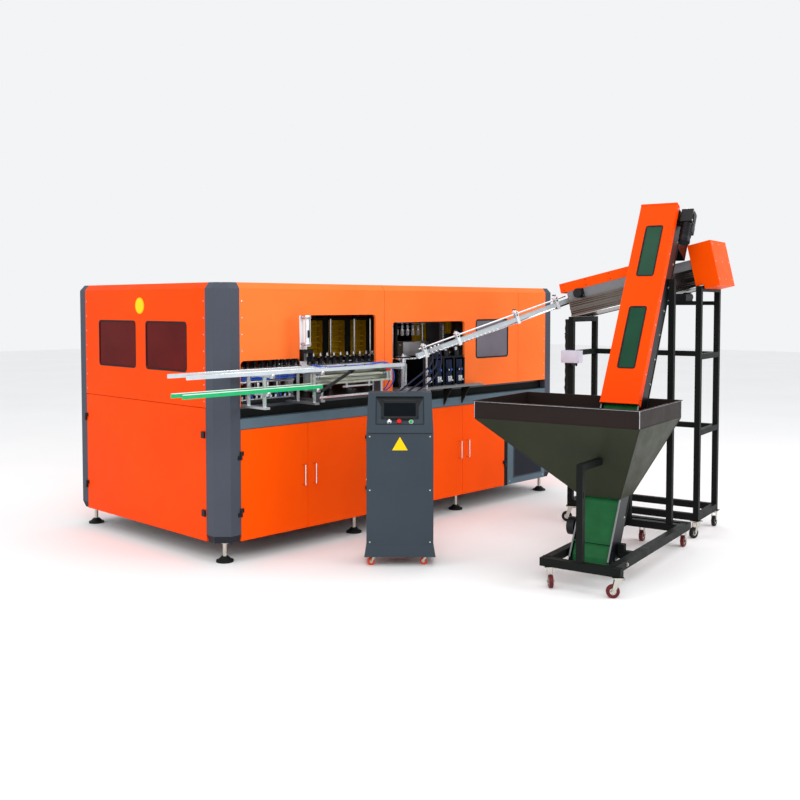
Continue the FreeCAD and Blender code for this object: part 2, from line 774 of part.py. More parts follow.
# ---------------------------------------------------------------- infeed
def infeed_unit():
    """Shelf, gussets and the preform feeding box in front of the machine."""
    x0, x1 = shelf_x
    z0, z1 = shelf_z
    edge = infeed_opening[1] - 5
    foot = chute_foot()
    shelf = weld([
        box(x0, edge, shelf_front, 150, z0, z1),
        box(edge - 1, x1, shelf_front, -3, z0, z1),
        box(foot.x - 25, foot.x + 25, foot.y - 22, shelf_front + 1, z0, z1),
        box(x0 + 30, x0 + 60, table_setback + 20, 150, table_top, z0 + 1),
        box(edge - 60, edge - 30, table_setback + 20, 150, table_top, z0 + 1),
    ])
    pieces = [shelf]
    for x in (2170, 2390):
        pieces.append(prism("x", x, x + 12, [(0, ledge_bottom + 14), (0, z0), (shelf_front + 6, z0)]))
    b0, b1 = infeed_box_x
    y0, y1 = infeed_box_y
    c0, c1 = infeed_box_z
    width = b1 - b0
    pieces.append(box(b0, b0 + 90, y0, y1, z1, c1))
    for i in range(1, 5):
        x = b0 + width * i / 4
        pieces.append(box(x - 14, x, y0, y1, z1, c1 - 25))
    pieces.append(box(b0 + 90, b1, y0 + 15, y1 - 15, c1 - 25, c1 - 10))
    for i in range(3):
        x = b0 + width * (i + 1) / 4
        gap = width / 4 - 14
        pieces.append(rod((x, y0 + 40, c0 + 50), (x + gap, y0 + 40, c0 + 50), 14))
        pieces.append(rod((x, y0 + 60, c0 + 130), (x + gap, y0 + 60, c0 + 130), 10))
    sx, sy = star_centre
    bearing = weld([rod((sx, sy, z1), (sx, sy, star_z[0] - 40), 32), rod((sx, sy, z1), (sx, sy, z1 + 12), 55)])
    bearing = bearing.cut(rod((sx, sy, star_z[0] - 120), (sx, sy, star_z[0]), 12 + slide_clearance))
    pieces.append(bearing)
    return pieces


def star_wheel():
    """Wheel whose pockets take the preforms one by one from the chute."""
    sx, sy = star_centre
    z0, z1 = star_z
    disc = rod((sx, sy, z0), (sx, sy, z1), star_radius)
    for i in range(star_pockets):
        turn = 2 * math.pi * i / star_pockets
        x = sx + star_radius * math.cos(turn)
        y = sy + star_radius * math.sin(turn)
        disc = disc.cut(rod((x, y, z0 - 1), (x, y, z1 + 1), pocket_radius))
    hub = rod((sx, sy, z0 - 39), (sx, sy, z1 + 20), 24)
    shaft = rod((sx, sy, z0 - 110), (sx, sy, z1 + 30), 12)
    return [weld([disc, hub, shaft])]


def chute_frame():
    """Placement of the sloping chute: x up along it, z square to it."""
    low, high = Vector(*chute_low), Vector(*chute_high)
    run = high - low
    yaw = math.degrees(math.atan2(run.y, run.x))
    pitch = math.degrees(math.asin(run.z / run.Length))
    return Placement(low, Rotation(yaw, -pitch, 0)), run.Length


def chute_foot():
    """Where the chute's post meets the clip under its rails."""
    return chute_frame()[0].multVec(Vector(72, 0, -chute_rail[1] / 2 - 9))


def chute_slot():
    """Room for the chute's high end in the sorter's end plate."""
    place, length = chute_frame()
    outer = chute_half_gap + chute_rail[0] + chute_slot_gap
    half = chute_rail[1] / 2
    slot = box(length - 100, length + 60, -outer, outer, -half - chute_slot_gap, half + 12)
    return slot.transformed(place.toMatrix())


def infeed_chute():
    """Two neck rails with guide rods over them, clips, bolts and the air manifold."""
    place, length = chute_frame()
    inner = chute_half_gap
    outer = inner + chute_rail[0]
    half = chute_rail[1] / 2
    rails = [
        box(0, length, inner, outer, -half, half),
        box(0, length, -outer, -inner, -half, half),
        rod((30, 9, 46), (length - 90, 9, 46), 5),
        rod((30, -9, 46), (length - 90, -9, 46), 5),
    ]
    clips = []
    clip_places = (60, 345, 860, length - 190)
    for s in clip_places:
        clips.append(weld([
            box(s, s + 24, outer, outer + 5, -half - 12, 68),
            box(s, s + 24, -outer - 5, -outer, -half - 12, 68),
            box(s, s + 24, -outer - 5, outer + 5, 51, 57),
            box(s, s + 24, -outer - 5, outer + 5, -half - 12, -half - 6),
        ]))
    bolts = []
    for i in range(17):
        s = 106 + 36 * i
        if any(clip - 8 < s < clip + 32 for clip in clip_places):
            continue
        bolts.append(rod((s, -outer, -half + 8), (s, -outer - 12, -half + 8), 6))
    manifold = box(96, 190, -outer - 42, -outer - 12.5, 2, 30)
    spacer = box(120, 160, -outer - 13, -outer, 4, 20)
    sloped = rails + clips + bolts + [weld([manifold, spacer])]
    pieces = [shape.transformed(place.toMatrix()) for shape in sloped]
    foot = chute_foot()
    post = rod((foot.x, foot.y, shelf_z[1]), (foot.x, foot.y, foot.z), 9)
    pieces[4] = weld([pieces[4], post])
    return pieces


# ---------------------------------------------------------------- hoses
hose_radius = 6.5
hose_routes = {
    "air_hose_1": [
        (1470, 42, 985), (1470, 0, 985), (1476, -42, 990), (1494, -80, 1008), (1524, -112, 1040), (1566, -138, 1080),
        (1618, -160, 1122), (1676, -178, 1162), (1738, -192, 1200), (1796, -203, 1244), (1822, -203, 1296),
        (1817, -196, 1346),
    ],
    "air_hose_2": [
        (1508, 42, 985), (1508, 0, 985), (1513, -46, 984), (1530, -90, 996), (1562, -128, 1022), (1606, -158, 1058),
        (1660, -182, 1098), (1720, -200, 1138), (1784, -212, 1182), (1836, -219, 1236), (1856, -219, 1298),
        (1843, -211, 1356),
    ],
    "air_hose_3": [
        (1546, 42, 985), (1546, 0, 985), (1551, -48, 980), (1568, -96, 986), (1602, -138, 1006), (1648, -170, 1038),
        (1704, -196, 1076), (1766, -216, 1116), (1826, -230, 1164), (1870, -236, 1226), (1886, -234, 1298),
        (1868, -225, 1366),
    ],
}


def tube_along(points, radius):
    """A round hose: straight runs joined by arcs as large as the runs allow."""
    points = [Vector(*p) for p in points]
    edges, start, radii = [], points[0], []
    for before, corner, after in zip(points, points[1:], points[2:]):
        a, b = (before - corner), (after - corner)
        short = 0.45 * min(a.Length, b.Length)
        a.normalize()
        b.normalize()
        enter, leave = corner + a * short, corner + b * short
        middle_way = (a + b).normalize()
        half_turn = math.acos(max(-1, min(1, a.dot(b)))) / 2
        bend = short * math.tan(half_turn)
        radii.append(round(bend))
        centre = corner + middle_way * (short / math.cos(half_turn))
        edges.append(Part.LineSegment(start, enter).toShape())
        edges.append(Part.Arc(enter, centre - middle_way * bend, leave).toShape())
        start = leave
    edges.append(Part.LineSegment(start, points[-1]).toShape())
    path = Part.Wire(edges)
    ring = Part.Wire(Part.makeCircle(radius, points[0], points[1] - points[0]))
    tube = path.makePipeShell([ring], True, False)
    print("hose radii", radii, "length", round(path.Length))
    return tube


# ---------------------------------------------------------------- console
def console_slope():
    """Frame on the sloping panel: x across, y up the slope, z out of it."""
    rise = console_heights[3] - console_heights[2]
    run = console_slope_depth
    angle = math.degrees(math.atan2(rise, run))
    return Placement(Vector(0, 0, console_heights[2]), Rotation(Vector(1, 0, 0), angle)), math.hypot(rise, run)


def on_slope(shapes):
    place = console_slope()[0]
    return [s.transformed(place.toMatrix()) for s in shapes]


def console_cabinet():
    """Plinth, body with the sloping operator panel, button rings and the screen."""
    z0, z1, z2, z3 = console_heights
    half, deep = console_width / 2, console_depth
    flare = console_plinth_flare
    top = console_top_width / 2
    plinth = tapered((-half - flare, half + flare, -flare, deep + flare, z0), (-half, half, 0, deep, z1))
    body = tapered((-half, half, 0, deep, z1), (-half, half, 0, deep, z2))
    head = tapered((-half, half, 0, deep, z2), (-top, top, console_slope_depth, deep, z3))
    inner = half - sheet
    low_room = tapered((-inner, inner, sheet, deep - sheet, z0 + sheet), (-inner, inner, sheet, deep - sheet, z2))
    rise = z3 - z2
    lean = console_slope_depth
    back_off = sheet * math.hypot(rise, lean) / rise
    high_room = tapered((-inner, inner, back_off, deep - sheet, z2 - 0.01),
                        (-top + sheet, top - sheet, lean + back_off * (rise - sheet) / rise, deep - sheet, z3 - sheet))
    shell = weld([plinth, body, head])
    shell = shell.cut(weld([low_room, high_room]))
    r0, r1 = recess_span
    rim = recess_width / 2
    pan = on_slope([box(-rim - sheet, rim + sheet, r0 - sheet, r1 + sheet, -recess_depth - sheet, -0.5)])[0]
    hollow = on_slope([box(-rim, rim, r0, r1, -recess_depth, 5)])[0]
    shell = weld([shell, pan]).cut(hollow)
    for x in button_x:
        hole = rod((x, button_row, -recess_depth - 5), (x, button_row, 0), stem_radius + slide_clearance)
        shell = shell.cut(on_slope([hole])[0])
    pieces = [shell]
    outer, clear, height = button_ring
    for x in button_x:
        low, high = -recess_depth, -recess_depth + height
        ring_shape = rod((x, button_row, low), (x, button_row, high), outer)
        pieces += on_slope([ring_shape.cut(rod((x, button_row, low - 1), (x, button_row, high + 1), clear))])
    width, tall = screen_size
    bezel = box(-width / 2, width / 2, screen_low, screen_low + tall, -recess_depth, -2)
    glass = box(-width / 2 + 14, width / 2 - 14, screen_low + 14, screen_low + tall - 16, -3, -1.5)
    pieces += on_slope([bezel.cut(glass), glass])
    return pieces


def button(x, cap_radius, cap_bottom, cap_top, dome):
    """A push button: stem through the panel and a cap over it."""
    stem = rod((x, button_row, -recess_depth - 20), (x, button_row, cap_top - 1), stem_radius)
    cap = rod((x, button_row, cap_bottom), (x, button_row, cap_top), cap_radius)
    cap = cap.makeFillet(dome, [e for e in cap.Edges if abs(e.BoundBox.ZMin - cap_top) < 1e-6 and e.BoundBox.ZLength < 1e-6])
    return on_slope([weld([cap, stem])])


def selector():
    x = button_x[0]
    base = -recess_depth + 1
    stem = rod((x, button_row, -recess_depth - 20), (x, button_row, base + 2), stem_radius)
    disc = rod((x, button_row, base), (x, button_row, base + 8), 10.6)
    grip = box(x - 4, x + 4, button_row - 10, button_row + 10, base + 7, base + 20)
    return on_slope([weld([disc, stem, grip])])


# ---------------------------------------------------------------- casters
def caster(x, y, size, heading, swivel=True):
    """Plate and king pin, fork, and wheel.  A rigid caster's fork is part of its plate."""
    height, radius, width, trail = size
    if not swivel:
        trail = 0
    scale = height / 125
    plate_t, disc_t = 5 * scale, 9 * scale
    plate_half = 34 * scale
    pin_r, disc_r = 7 * scale, 24 * scale
    gap = 0.5
    top = height
    disc_top = top - plate_t - gap
    leg = 3 * scale + 0.5
    inner = width / 2 + 2
    plate = box(-plate_half, plate_half, -plate_half, plate_half, top - plate_t, top)
    disc_low = disc_top - disc_t
    legs = []
    for side in (-1, 1):
        y0, y1 = sorted((side * inner, side * (inner + leg)))
        points = [(-disc_r * 0.8, disc_low + 0.1), (disc_r * 0.8, disc_low + 0.1),
                  (trail + 10 * scale, radius - 6 * scale), (trail - 10 * scale, radius - 6 * scale)]
        legs.append(prism("y", y0, y1, points))
        legs.append(rod((trail, y0, radius), (trail, y1, radius), 11 * scale))
    axle_r = 5 * scale
    axle = rod((trail, -inner - leg - 3, radius), (trail, inner + leg + 3, radius), axle_r)
    shoulder = box(-disc_r * 0.8, disc_r * 0.8, -inner - leg, inner + leg, disc_low - 0.0, disc_top)
    disc = rod((0, 0, disc_low), (0, 0, disc_top), disc_r)
    fork = weld([disc, shoulder, *legs, axle])
    pedal = box(-disc_r * 0.8 - 22 * scale, -disc_r * 0.8 + 1, -inner, inner, disc_low - 1, disc_low + 3 * scale)
    fork = weld([fork, pedal])
    if swivel:
        fork = fork.cut(rod((0, 0, disc_low - 1), (0, 0, disc_top + 1), pin_r + slide_clearance))
        head_top = disc_low - gap
        room = rod((0, 0, head_top - 5 * scale), (0, 0, head_top + gap + 0.01), pin_r + 5 * scale)
        fork = fork.cut(room)
        pin = weld([plate, rod((0, 0, head_top), (0, 0, top - 1), pin_r),
                    rod((0, 0, head_top - 4 * scale), (0, 0, head_top), pin_r + 4 * scale)])
    else:
        pin = plate
        fork = weld([fork, rod((0, 0, disc_top - 1), (0, 0, top - plate_t), disc_r), plate])
    half = width / 2
    wheel = rod((trail, -half, radius), (trail, half, radius), radius)
    edges = [e for e in wheel.Edges if e.BoundBox.YLength < 1e-6]
    wheel = wheel.makeFillet(width * 0.22, edges)
    for side in (-1, 1):
        y0, y1 = sorted((side * (half - 3), side * (half + 1)))
        wheel = wheel.cut(rod((trail, y0, radius), (trail, y1, radius), radius * 0.62))
    hub_r = axle_r + 4 * scale
    wheel = weld([wheel, rod((trail, -half, radius), (trail, half, radius), hub_r)])
    wheel = wheel.cut(rod((trail, -half - 1, radius), (trail, half + 1, radius), axle_r + slide_clearance))
    turn = Placement(Vector(x, y, 0), Rotation(Vector(0, 0, 1), heading)).toMatrix()
    fixed = [] if not swivel else [pin.transformed(turn)]
    return fixed, fork.transformed(turn), wheel.transformed(turn)


# ---------------------------------------------------------------- feeder cart
def cart_frame():
    z0 = cart_caster[0]
    z1 = z0 + cart_beam
    half = cart_beam / 2
    right, left = cart_sides_y
    bars = [
        box(-half, half, *cart_front, z0, z1),
        box(half, cart_length, right - half, right + half, z0, z1),
        box(half, cart_length, left - half, left + half, z0, z1),
        box(cart_length - cart_beam, cart_length, right - half, left + half, z0, z1),
        box(1305, 1355, right, left, z0, z1),
    ]
    y0, y1 = elevator_y
    bars.append(box(400, 440, right, y0, z0, z1))
    for ya, yb in ((y0 - 40, y0), (y1, y1 + 40)):
        bars.append(box(400, 440, ya, yb, z1 - 1, 215))
        bars.append(box(1310, 1350, ya, yb, z1 - 1, 1880))
    post_top = 762
    bars.append(box(-20, 20, 0, 40, z1 - 1, post_top))
    wall = front_wall_x(post_top)
    bars.append(box(0, wall - 0.5, 0, 40, post_top - 40, post_top))
    return members(bars)


def front_wall_x(z):
    """The outside of the hopper's front wall at height z."""
    x_top, z_top = hopper_rim[0], hopper_rim[4]
    x_low, z_low = hopper_outlet[0], hopper_outlet[2]
    along = (z_top - z) / (z_top - z_low)
    return x_top + (x_low - x_top) * along - hopper_sheet


def hopper():
    """Funnel of folded sheet with an upright rim; its outlet fits the elevator's sides."""
    x0, x1, y0, y1, z_low, z_top = hopper_rim
    ox0, ox1, oz = hopper_outlet
    oy0, oy1 = elevator_y
    t = hopper_sheet
    inside = tapered((ox0, ox1, oy0, oy1, oz), (x0, x1, y0, y1, z_low))
    outside = tapered((ox0 - t, ox1 + t, oy0 - t, oy1 + t, oz), (x0 - t, x1 + t, y0 - t, y1 + t, z_low))
    rim_out = box(x0 - t, x1 + t, y0 - t, y1 + t, z_low, z_top)
    rim_in = box(x0, x1, y0, y1, z_low - 1, z_top + 1)
    shell = weld([outside, rim_out]).cut(inside).cut(rim_in)
    lip = box(x0 - t - 9, x1 + t + 9, y0 - t - 9, y1 + t + 9, z_top - 3, z_top).cut(rim_in)
    return [weld([shell, lip])]


def leaned(shapes):
    """Elevator pieces, built upright and leaned back from the cart's front."""
    lean = Placement(Vector(elevator_base, 0, 0), Rotation(Vector(0, 1, 0), elevator_lean))
    return [s.transformed(lean.toMatrix()) for s in shapes]


drum_x = 72


def elevator_frame():
    """Side plates, ties, bearings, slider bed and the discharge chute at the top."""
    y0, y1 = elevator_y
    z0, z1 = elevator_span
    t = elevator_plate
    pieces = []
    ties = []
    for ya, yb in ((y0, y0 + t), (y1 - t, y1)):
        side = box(0, elevator_depth, ya, yb, z0, z1)
        for z in drum_heights:
            side = side.cut(rod((drum_x, ya - 1, z), (drum_x, yb + 1, z), 12 + slide_clearance))
        ties.append(side)
    for z in range(420, 2600, 420):
        ties.append(rod((drum_x, y0 + t - 1, z), (drum_x, y1 - t + 1, z), 10))
    ties.append(box(elevator_depth - 3, elevator_depth, y0 + 1, y1 - 1, 330, 2480))
    pieces += members(ties)
    for z in drum_heights:
        for ya, yb in ((y0 - 22, y0), (y1, y1 + 22)):
            bearing = weld([rod((drum_x, ya, z), (drum_x, yb, z), 26), box(drum_x - 40, drum_x + 40, min(ya, yb) + (8 if ya < 0 else 0),
                            max(ya, yb) - (0 if ya < 0 else 8), z - 40, z + 40)])
            pieces.append(bearing.cut(rod((drum_x, ya - 1, z), (drum_x, yb + 1, z), 12 + slide_clearance)))
    chute = box(elevator_depth, elevator_depth + 190, y0 + 4, y1 - 4, 2495, 2700)
    room = box(elevator_depth - 1, elevator_depth + 187, y0 + 7, y1 - 7, 2480, 2697)
    chute = chute.cut(room)
    pieces.append(chute)
    return leaned(pieces)


def elevator_cover():
    """Folded front cover with two windows and their dark panes."""
    y0, y1 = elevator_y[0] - sheet, elevator_y[1] + sheet
    z0, z1 = cover_span
    front = -cover_stand_off
    body = box(front, cover_wrap, y0, y1, z0, z1)
    body = body.cut(box(front + sheet, elevator_depth, y0 + sheet, y1 - sheet, z0 - 1, z1 - sheet))
    middle = (y0 + y1) / 2
    pieces = []
    for w0, w1 in cover_windows:
        opening = rounded_block("x", front - 1, front + sheet + 0.5, middle - cover_window_half, middle + cover_window_half, w0, w1, 14)
        body = body.cut(opening)
        pieces.append(box(front + sheet, front + sheet + 3, middle - cover_window_half - 8, middle + cover_window_half + 8, w0 - 8, w1 + 8))
    return leaned([body] + pieces)


def stadium(radius, y0, y1):
    """A block with round ends that wraps the two drums at a given radius."""
    low, high = drum_heights
    x = drum_x
    edges = [
        Part.LineSegment(Vector(x - radius, y0, low), Vector(x - radius, y0, high)).toShape(),
        Part.Arc(Vector(x - radius, y0, high), Vector(x, y0, high + radius), Vector(x + radius, y0, high)).toShape(),
        Part.LineSegment(Vector(x + radius, y0, high), Vector(x + radius, y0, low)).toShape(),
        Part.Arc(Vector(x + radius, y0, low), Vector(x, y0, low - radius), Vector(x - radius, y0, low)).toShape(),
    ]
    return Part.Face(Part.Wire(edges)).extrude(Vector(0, y1 - y0, 0))


belt_side_gap = 5


def elevator_belt():
    """Closed belt round both drums, with a cleat every cleat_pitch on each run."""
    y0 = elevator_y[0] + elevator_plate + belt_side_gap
    y1 = elevator_y[1] - elevator_plate - belt_side_gap
    inner = drum_radius + 0.4
    outer = inner + belt_thickness
    belt = stadium(outer, y0, y1).cut(stadium(inner, y0 - 1, y1 + 1))
    cleats = []
    low, high = drum_heights
    for i in range(int((high - low) // cleat_pitch) + 1):
        z = low + 70 + i * cleat_pitch
        cleats.append(box(drum_x - outer - cleat_height, drum_x - outer + 1, y0, y1, z, z + 6))
        cleats.append(box(drum_x + outer - 1, drum_x + outer + cleat_height, y0, y1, z - 60, z - 54))
    return leaned([weld([belt] + cleats)])


def elevator_drum(z):
    """Drum with its shaft, which runs in the bearings on both side plates."""
    y0, y1 = elevator_y
    t = elevator_plate
    drum = rod((drum_x, y0 + t + belt_side_gap, z), (drum_x, y1 - t - belt_side_gap, z), drum_radius)
    shaft = rod((drum_x, y0 - 30, z), (drum_x, y1 + 21, z), 12)
    return leaned([weld([drum, shaft])])


# ---------------------------------------------------------------- stand and sorter
def sloped(shapes):
    """Sorter pieces, built level and tilted up to the right."""
    tilt = Placement(Vector(0, 0, sorter_low), Rotation(Vector(0, 1, 0), -sorter_slope))
    return [s.transformed(tilt.toMatrix()) for s in shapes]


def stand_frame():
    length, depth = stand_size
    b = stand_bar
    z0 = cart_caster[0]
    ring_top = z0 + feeder_bar
    rise = math.tan(math.radians(sorter_slope))
    bars = [
        box(0, length, 0, b, z0, ring_top),
        box(0, length, depth - b, depth, z0, ring_top),
        box(0, b, 0, depth, z0, ring_top),
        box(length - b, length, 0, depth, z0, ring_top),
        box(0, length, depth - b, depth, 750, 790),
        box(0, length, depth - b, depth, 1305, 1345),
    ]
    for x in (0, length - b):
        top = sorter_low + rise * x - 0.5
        bars.append(box(x, x + b, 0, depth, 1305, 1345))
        bars.append(box(x, x + b, 0, depth, 750, 790))
        bars.append(box(x, x + b, 0, depth, top - b, top))
        for y in (0, depth - b):
            bars.append(box(x, x + b, y, y + b, ring_top - 1, top))
    shelf_z0 = 1700
    bars.append(box(740, length - b + 1, 0, b, shelf_z0, shelf_z0 + 30))
    bars.append(box(740, length - b + 1, depth - b, depth, shelf_z0, shelf_z0 + 30))
    bars.append(box(760, 930, b - 1, depth - b + 1, shelf_z0 + 20, shelf_z0 + 30))
    return members(bars)


def sorter_housing():
    """Trough, end plates, grey side panels and the covers of the inclined sorter."""
    y0, y1 = sorter_y
    wall = 3
    trough = box(0, sorter_length, y0, y1, 0, sorter_trough_height)
    trough = trough.cut(box(-1, sorter_length + 1, y0 + wall, y1 - wall, wall, sorter_trough_height + 1))
    rib = [box(0, sorter_length, y0 - 6, y0 + 1, z, z + 12) for z in (0, 55, sorter_trough_height - 12)]
    ends = [box(0, 6, y0 + 1, y1 - 1, 1, sorter_height), box(sorter_length - 6, sorter_length, y0 + 1, y1 - 1, 1, sorter_height)]
    body = weld([trough] + rib + ends)
    for y in roller_centres:
        for x in (-1, sorter_length - 7):
            body = body.cut(rod((x, y, roller_z), (x + 8, y, roller_z), 10 + slide_clearance))
    side = box(6, sorter_length - 6, y0, y0 + wall, sorter_trough_height, sorter_panel_height)
    back = box(6, sorter_length - 6, y1 - wall, y1, sorter_trough_height, sorter_panel_height)
    cover_end = 560
    skirt = sorter_panel_height - 1.5
    hood = box(-50, cover_end, y0 - sheet, y1 + sheet, skirt, sorter_height + sheet)
    hood = hood.cut(box(-50 + sheet, cover_end + 1, y0, y1, skirt - 1, sorter_height))
    end_box = box(sorter_length, sorter_length + 110, y0 - 8, y1 + 8, -30, sorter_height + 36)
    end_box = end_box.cut(box(sorter_length - 1, sorter_length + 108, y0 - 6, y1 + 6, -28, sorter_height + 34))
    wings = box(sorter_length - 60, sorter_length, y0 - 8, y1 + 8, 2, sorter_height + 36)
    wings = wings.cut(box(sorter_length - 61, sorter_length + 1, y0 - 6, y1 + 6, 1, sorter_height + 34))
    end_box = weld([end_box, wings])
    return sloped([body, side, back, hood, end_box])


def sorter_roller(y):
    barrel = rod((14, y, roller_z), (sorter_length - 14, y, roller_z), roller_radius)
    shaft = rod((-8, y, roller_z), (sorter_length + 20, y, roller_z), 10)
    return sloped([weld([barrel, shaft])])


def stand_electrics():
    """Junction box and the wrapped cable bundle down the left front post."""
    return [
        box(-35, 120, -60, 0, 1253, 1349),
        rod((-15, 20, 300), (-15, 20, 1253), 15),
        rod((-15, 20, 1253), (-15, 20, 1590), 15),
    ]


def sorter_motors():
    y0 = sorter_y[0]
    small = sloped([weld([rod((110, y0 - 6, 164), (110, y0 - 60, 164), 34), box(78, 142, y0 - 6, y0, 134, 197)])])
    big = weld([box(780, 900, 60, 220, 1730, 1780), rod((840, 220, 1761), (840, 330, 1761), 30)])
    return small + [big]


def elevator_motors():
    y0, y1 = elevator_y
    head = drum_heights[1]
    guard = weld([rod((drum_x, y1 + 22, guard_height), (drum_x, y1 + 70, guard_height), 58),
                  rod((drum_x, y1, guard_height), (drum_x, y1 + 23, guard_height), 30)])
    gearbox = box(drum_x - 45, drum_x + 45, y0 - 105, y0 - 22.5, head - 50, head + 50)
    gearbox = gearbox.cut(rod((drum_x, y0 - 34, head), (drum_x, y0 - 22, head), 14))
    motor = rod((drum_x, y0 - 64, head - 50), (drum_x, y0 - 64, head - 200), 38)
    return leaned([guard, weld([gearbox, motor])])


# ---------------------------------------------------------------- build
def caster_group(prefix, spots, size, headings, place, turn):
    """Saves swivel forks and wheels; returns the pieces that belong to the frame."""
    kept = []
    for name, (x, y), swivel, heading in headings_for(spots, headings):
        fixed, fork, wheel = caster(x, y, size, heading, swivel)
        kept += placed(fixed, place, turn)
        if swivel:
            save(f"{prefix}_fork_{name}", placed([fork], place, turn))
        else:
            kept += placed([fork], place, turn)
        save(f"{prefix}_wheel_{name}", placed([wheel], place, turn))
    return kept


def headings_for(spots, headings):
    return [(name, spots[name], swivel, heading) for name, swivel, heading in headings]


def build():
    save("corner_posts", corner_posts())
    save("cabinet_covers", cabinet_covers() + side_and_lower_covers())
    save("base_frame", base_frame())
    save("window_panes", window_panes())
    save("levelling_feet", levelling_feet())
    save("vent_panel", vent_panel())
    hinges = []
    for number, door in enumerate(front_doors, 1):
        moving, fixed = front_door(*door)
        save(f"front_door_{number}", moving)
        hinges += fixed
    moving, fixed = end_door()
    save("end_door", moving)
    save("door_hinges", hinges + fixed)
    save("heating_line", heating_line())
    save("blow_station", blow_station())
    save("mould_half_front", mould_half(-1))
    save("mould_half_rear", mould_half(1))
    save("nozzle_carriage", nozzle_carriage())
    save("outfeed_line", outfeed_line())
    save("outfeed_gripper", gripper())
    save("infeed_unit", infeed_unit())
    save("star_wheel", star_wheel())
    save("infeed_chute", infeed_chute())
    for name, route in hose_routes.items():
        save(name, [tube_along(route, hose_radius)])

    inset = 45
    half = console_width / 2 - inset
    spots = {"front_left": (-half, inset), "front_right": (half, inset),
             "rear_left": (-half, console_depth - inset), "rear_right": (half, console_depth - inset)}
    kinds = [("front_left", True, 200), ("front_right", True, 160), ("rear_left", False, 0), ("rear_right", False, 0)]
    fixed = caster_group("console", spots, console_caster, kinds, console_place, console_turn)
    save("console_cabinet", placed(console_cabinet(), console_place, console_turn) + fixed)
    save("selector_knob", placed(selector(), console_place, console_turn))
    save("stop_button", placed(button(button_x[1], 15, 1.5, 9, 3), console_place, console_turn))
    save("start_button", placed(button(button_x[2], 11, -recess_depth + 3.5, -recess_depth + 10, 1.5), console_place, console_turn))

    cart_half = 215
    spots = {"front_left": (0, cart_half), "front_right": (0, -cart_half),
             "rear_left": (cart_length - 25, 150), "rear_right": (cart_length - 25, -150)}
    kinds = [("front_left", True, 215), ("front_right", True, 120), ("rear_left", False, 0), ("rear_right", False, 0)]
    fixed = caster_group("cart", spots, cart_caster, kinds, feeder_place, feeder_turn)
    save("cart_frame", placed(cart_frame(), feeder_place, feeder_turn) + fixed)
    save("hopper", placed(hopper(), feeder_place, feeder_turn))
    save("elevator_frame", placed(elevator_frame(), feeder_place, feeder_turn))
    save("elevator_cover", placed(elevator_cover(), feeder_place, feeder_turn))
    save("elevator_belt", placed(elevator_belt(), feeder_place, feeder_turn))
    save("elevator_tail_drum", placed(elevator_drum(drum_heights[0]), feeder_place, feeder_turn))
    save("elevator_head_drum", placed(elevator_drum(drum_heights[1]), feeder_place, feeder_turn))

    length, depth = stand_size
    mid = stand_bar / 2
    spots = {"front_left": (mid, mid), "front_right": (length - mid, mid),
             "rear_left": (mid, depth - mid), "rear_right": (length - mid, depth - mid)}
    kinds = [("front_left", True, 200), ("front_right", True, 250), ("rear_left", False, 90), ("rear_right", False, 90)]
    turn = feeder_turn - 90
    fixed = caster_group("stand", spots, cart_caster, kinds, stand_place, turn)
    save("stand_frame", placed(stand_frame(), stand_place, turn) + fixed)
    housing = placed(sorter_housing(), stand_place, turn)
    housing[0] = housing[0].cut(chute_slot())
    save("sorter_housing", housing)
    for number, y in enumerate(roller_centres, 1):
        save(f"sorter_roller_{number}", placed(sorter_roller(y), stand_place, turn))
    save("stand_electrics", placed(stand_electrics(), stand_place, turn))
    motors = placed(sorter_motors(), stand_place, turn) + placed(elevator_motors(), feeder_place, feeder_turn)
    save("drive_motors", motors)


build()
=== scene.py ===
"""Blow moulding machine with its console and preform feeder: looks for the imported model."""
import math

import bpy
from mathutils import Matrix, Vector


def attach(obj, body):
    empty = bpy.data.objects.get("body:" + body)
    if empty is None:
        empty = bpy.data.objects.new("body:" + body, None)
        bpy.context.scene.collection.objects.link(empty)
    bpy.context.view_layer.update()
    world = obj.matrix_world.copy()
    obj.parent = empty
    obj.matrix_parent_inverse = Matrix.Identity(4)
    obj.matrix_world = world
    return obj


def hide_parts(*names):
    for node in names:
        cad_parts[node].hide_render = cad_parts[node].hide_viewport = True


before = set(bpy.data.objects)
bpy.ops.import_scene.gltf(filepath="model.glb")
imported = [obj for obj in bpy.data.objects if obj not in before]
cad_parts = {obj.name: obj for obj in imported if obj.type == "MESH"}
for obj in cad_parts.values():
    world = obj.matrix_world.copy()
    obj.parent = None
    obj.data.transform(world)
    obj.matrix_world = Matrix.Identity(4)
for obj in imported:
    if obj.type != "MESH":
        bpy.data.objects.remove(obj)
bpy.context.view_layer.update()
MACHINE = "machine"


# ---------------------------------------------------------------- places
def moved(x, y, z):
    return Matrix.Translation((x / 1000, y / 1000, z / 1000))


def turned_about(axis, degrees):
    return Matrix.Rotation(math.radians(degrees), 4, axis)


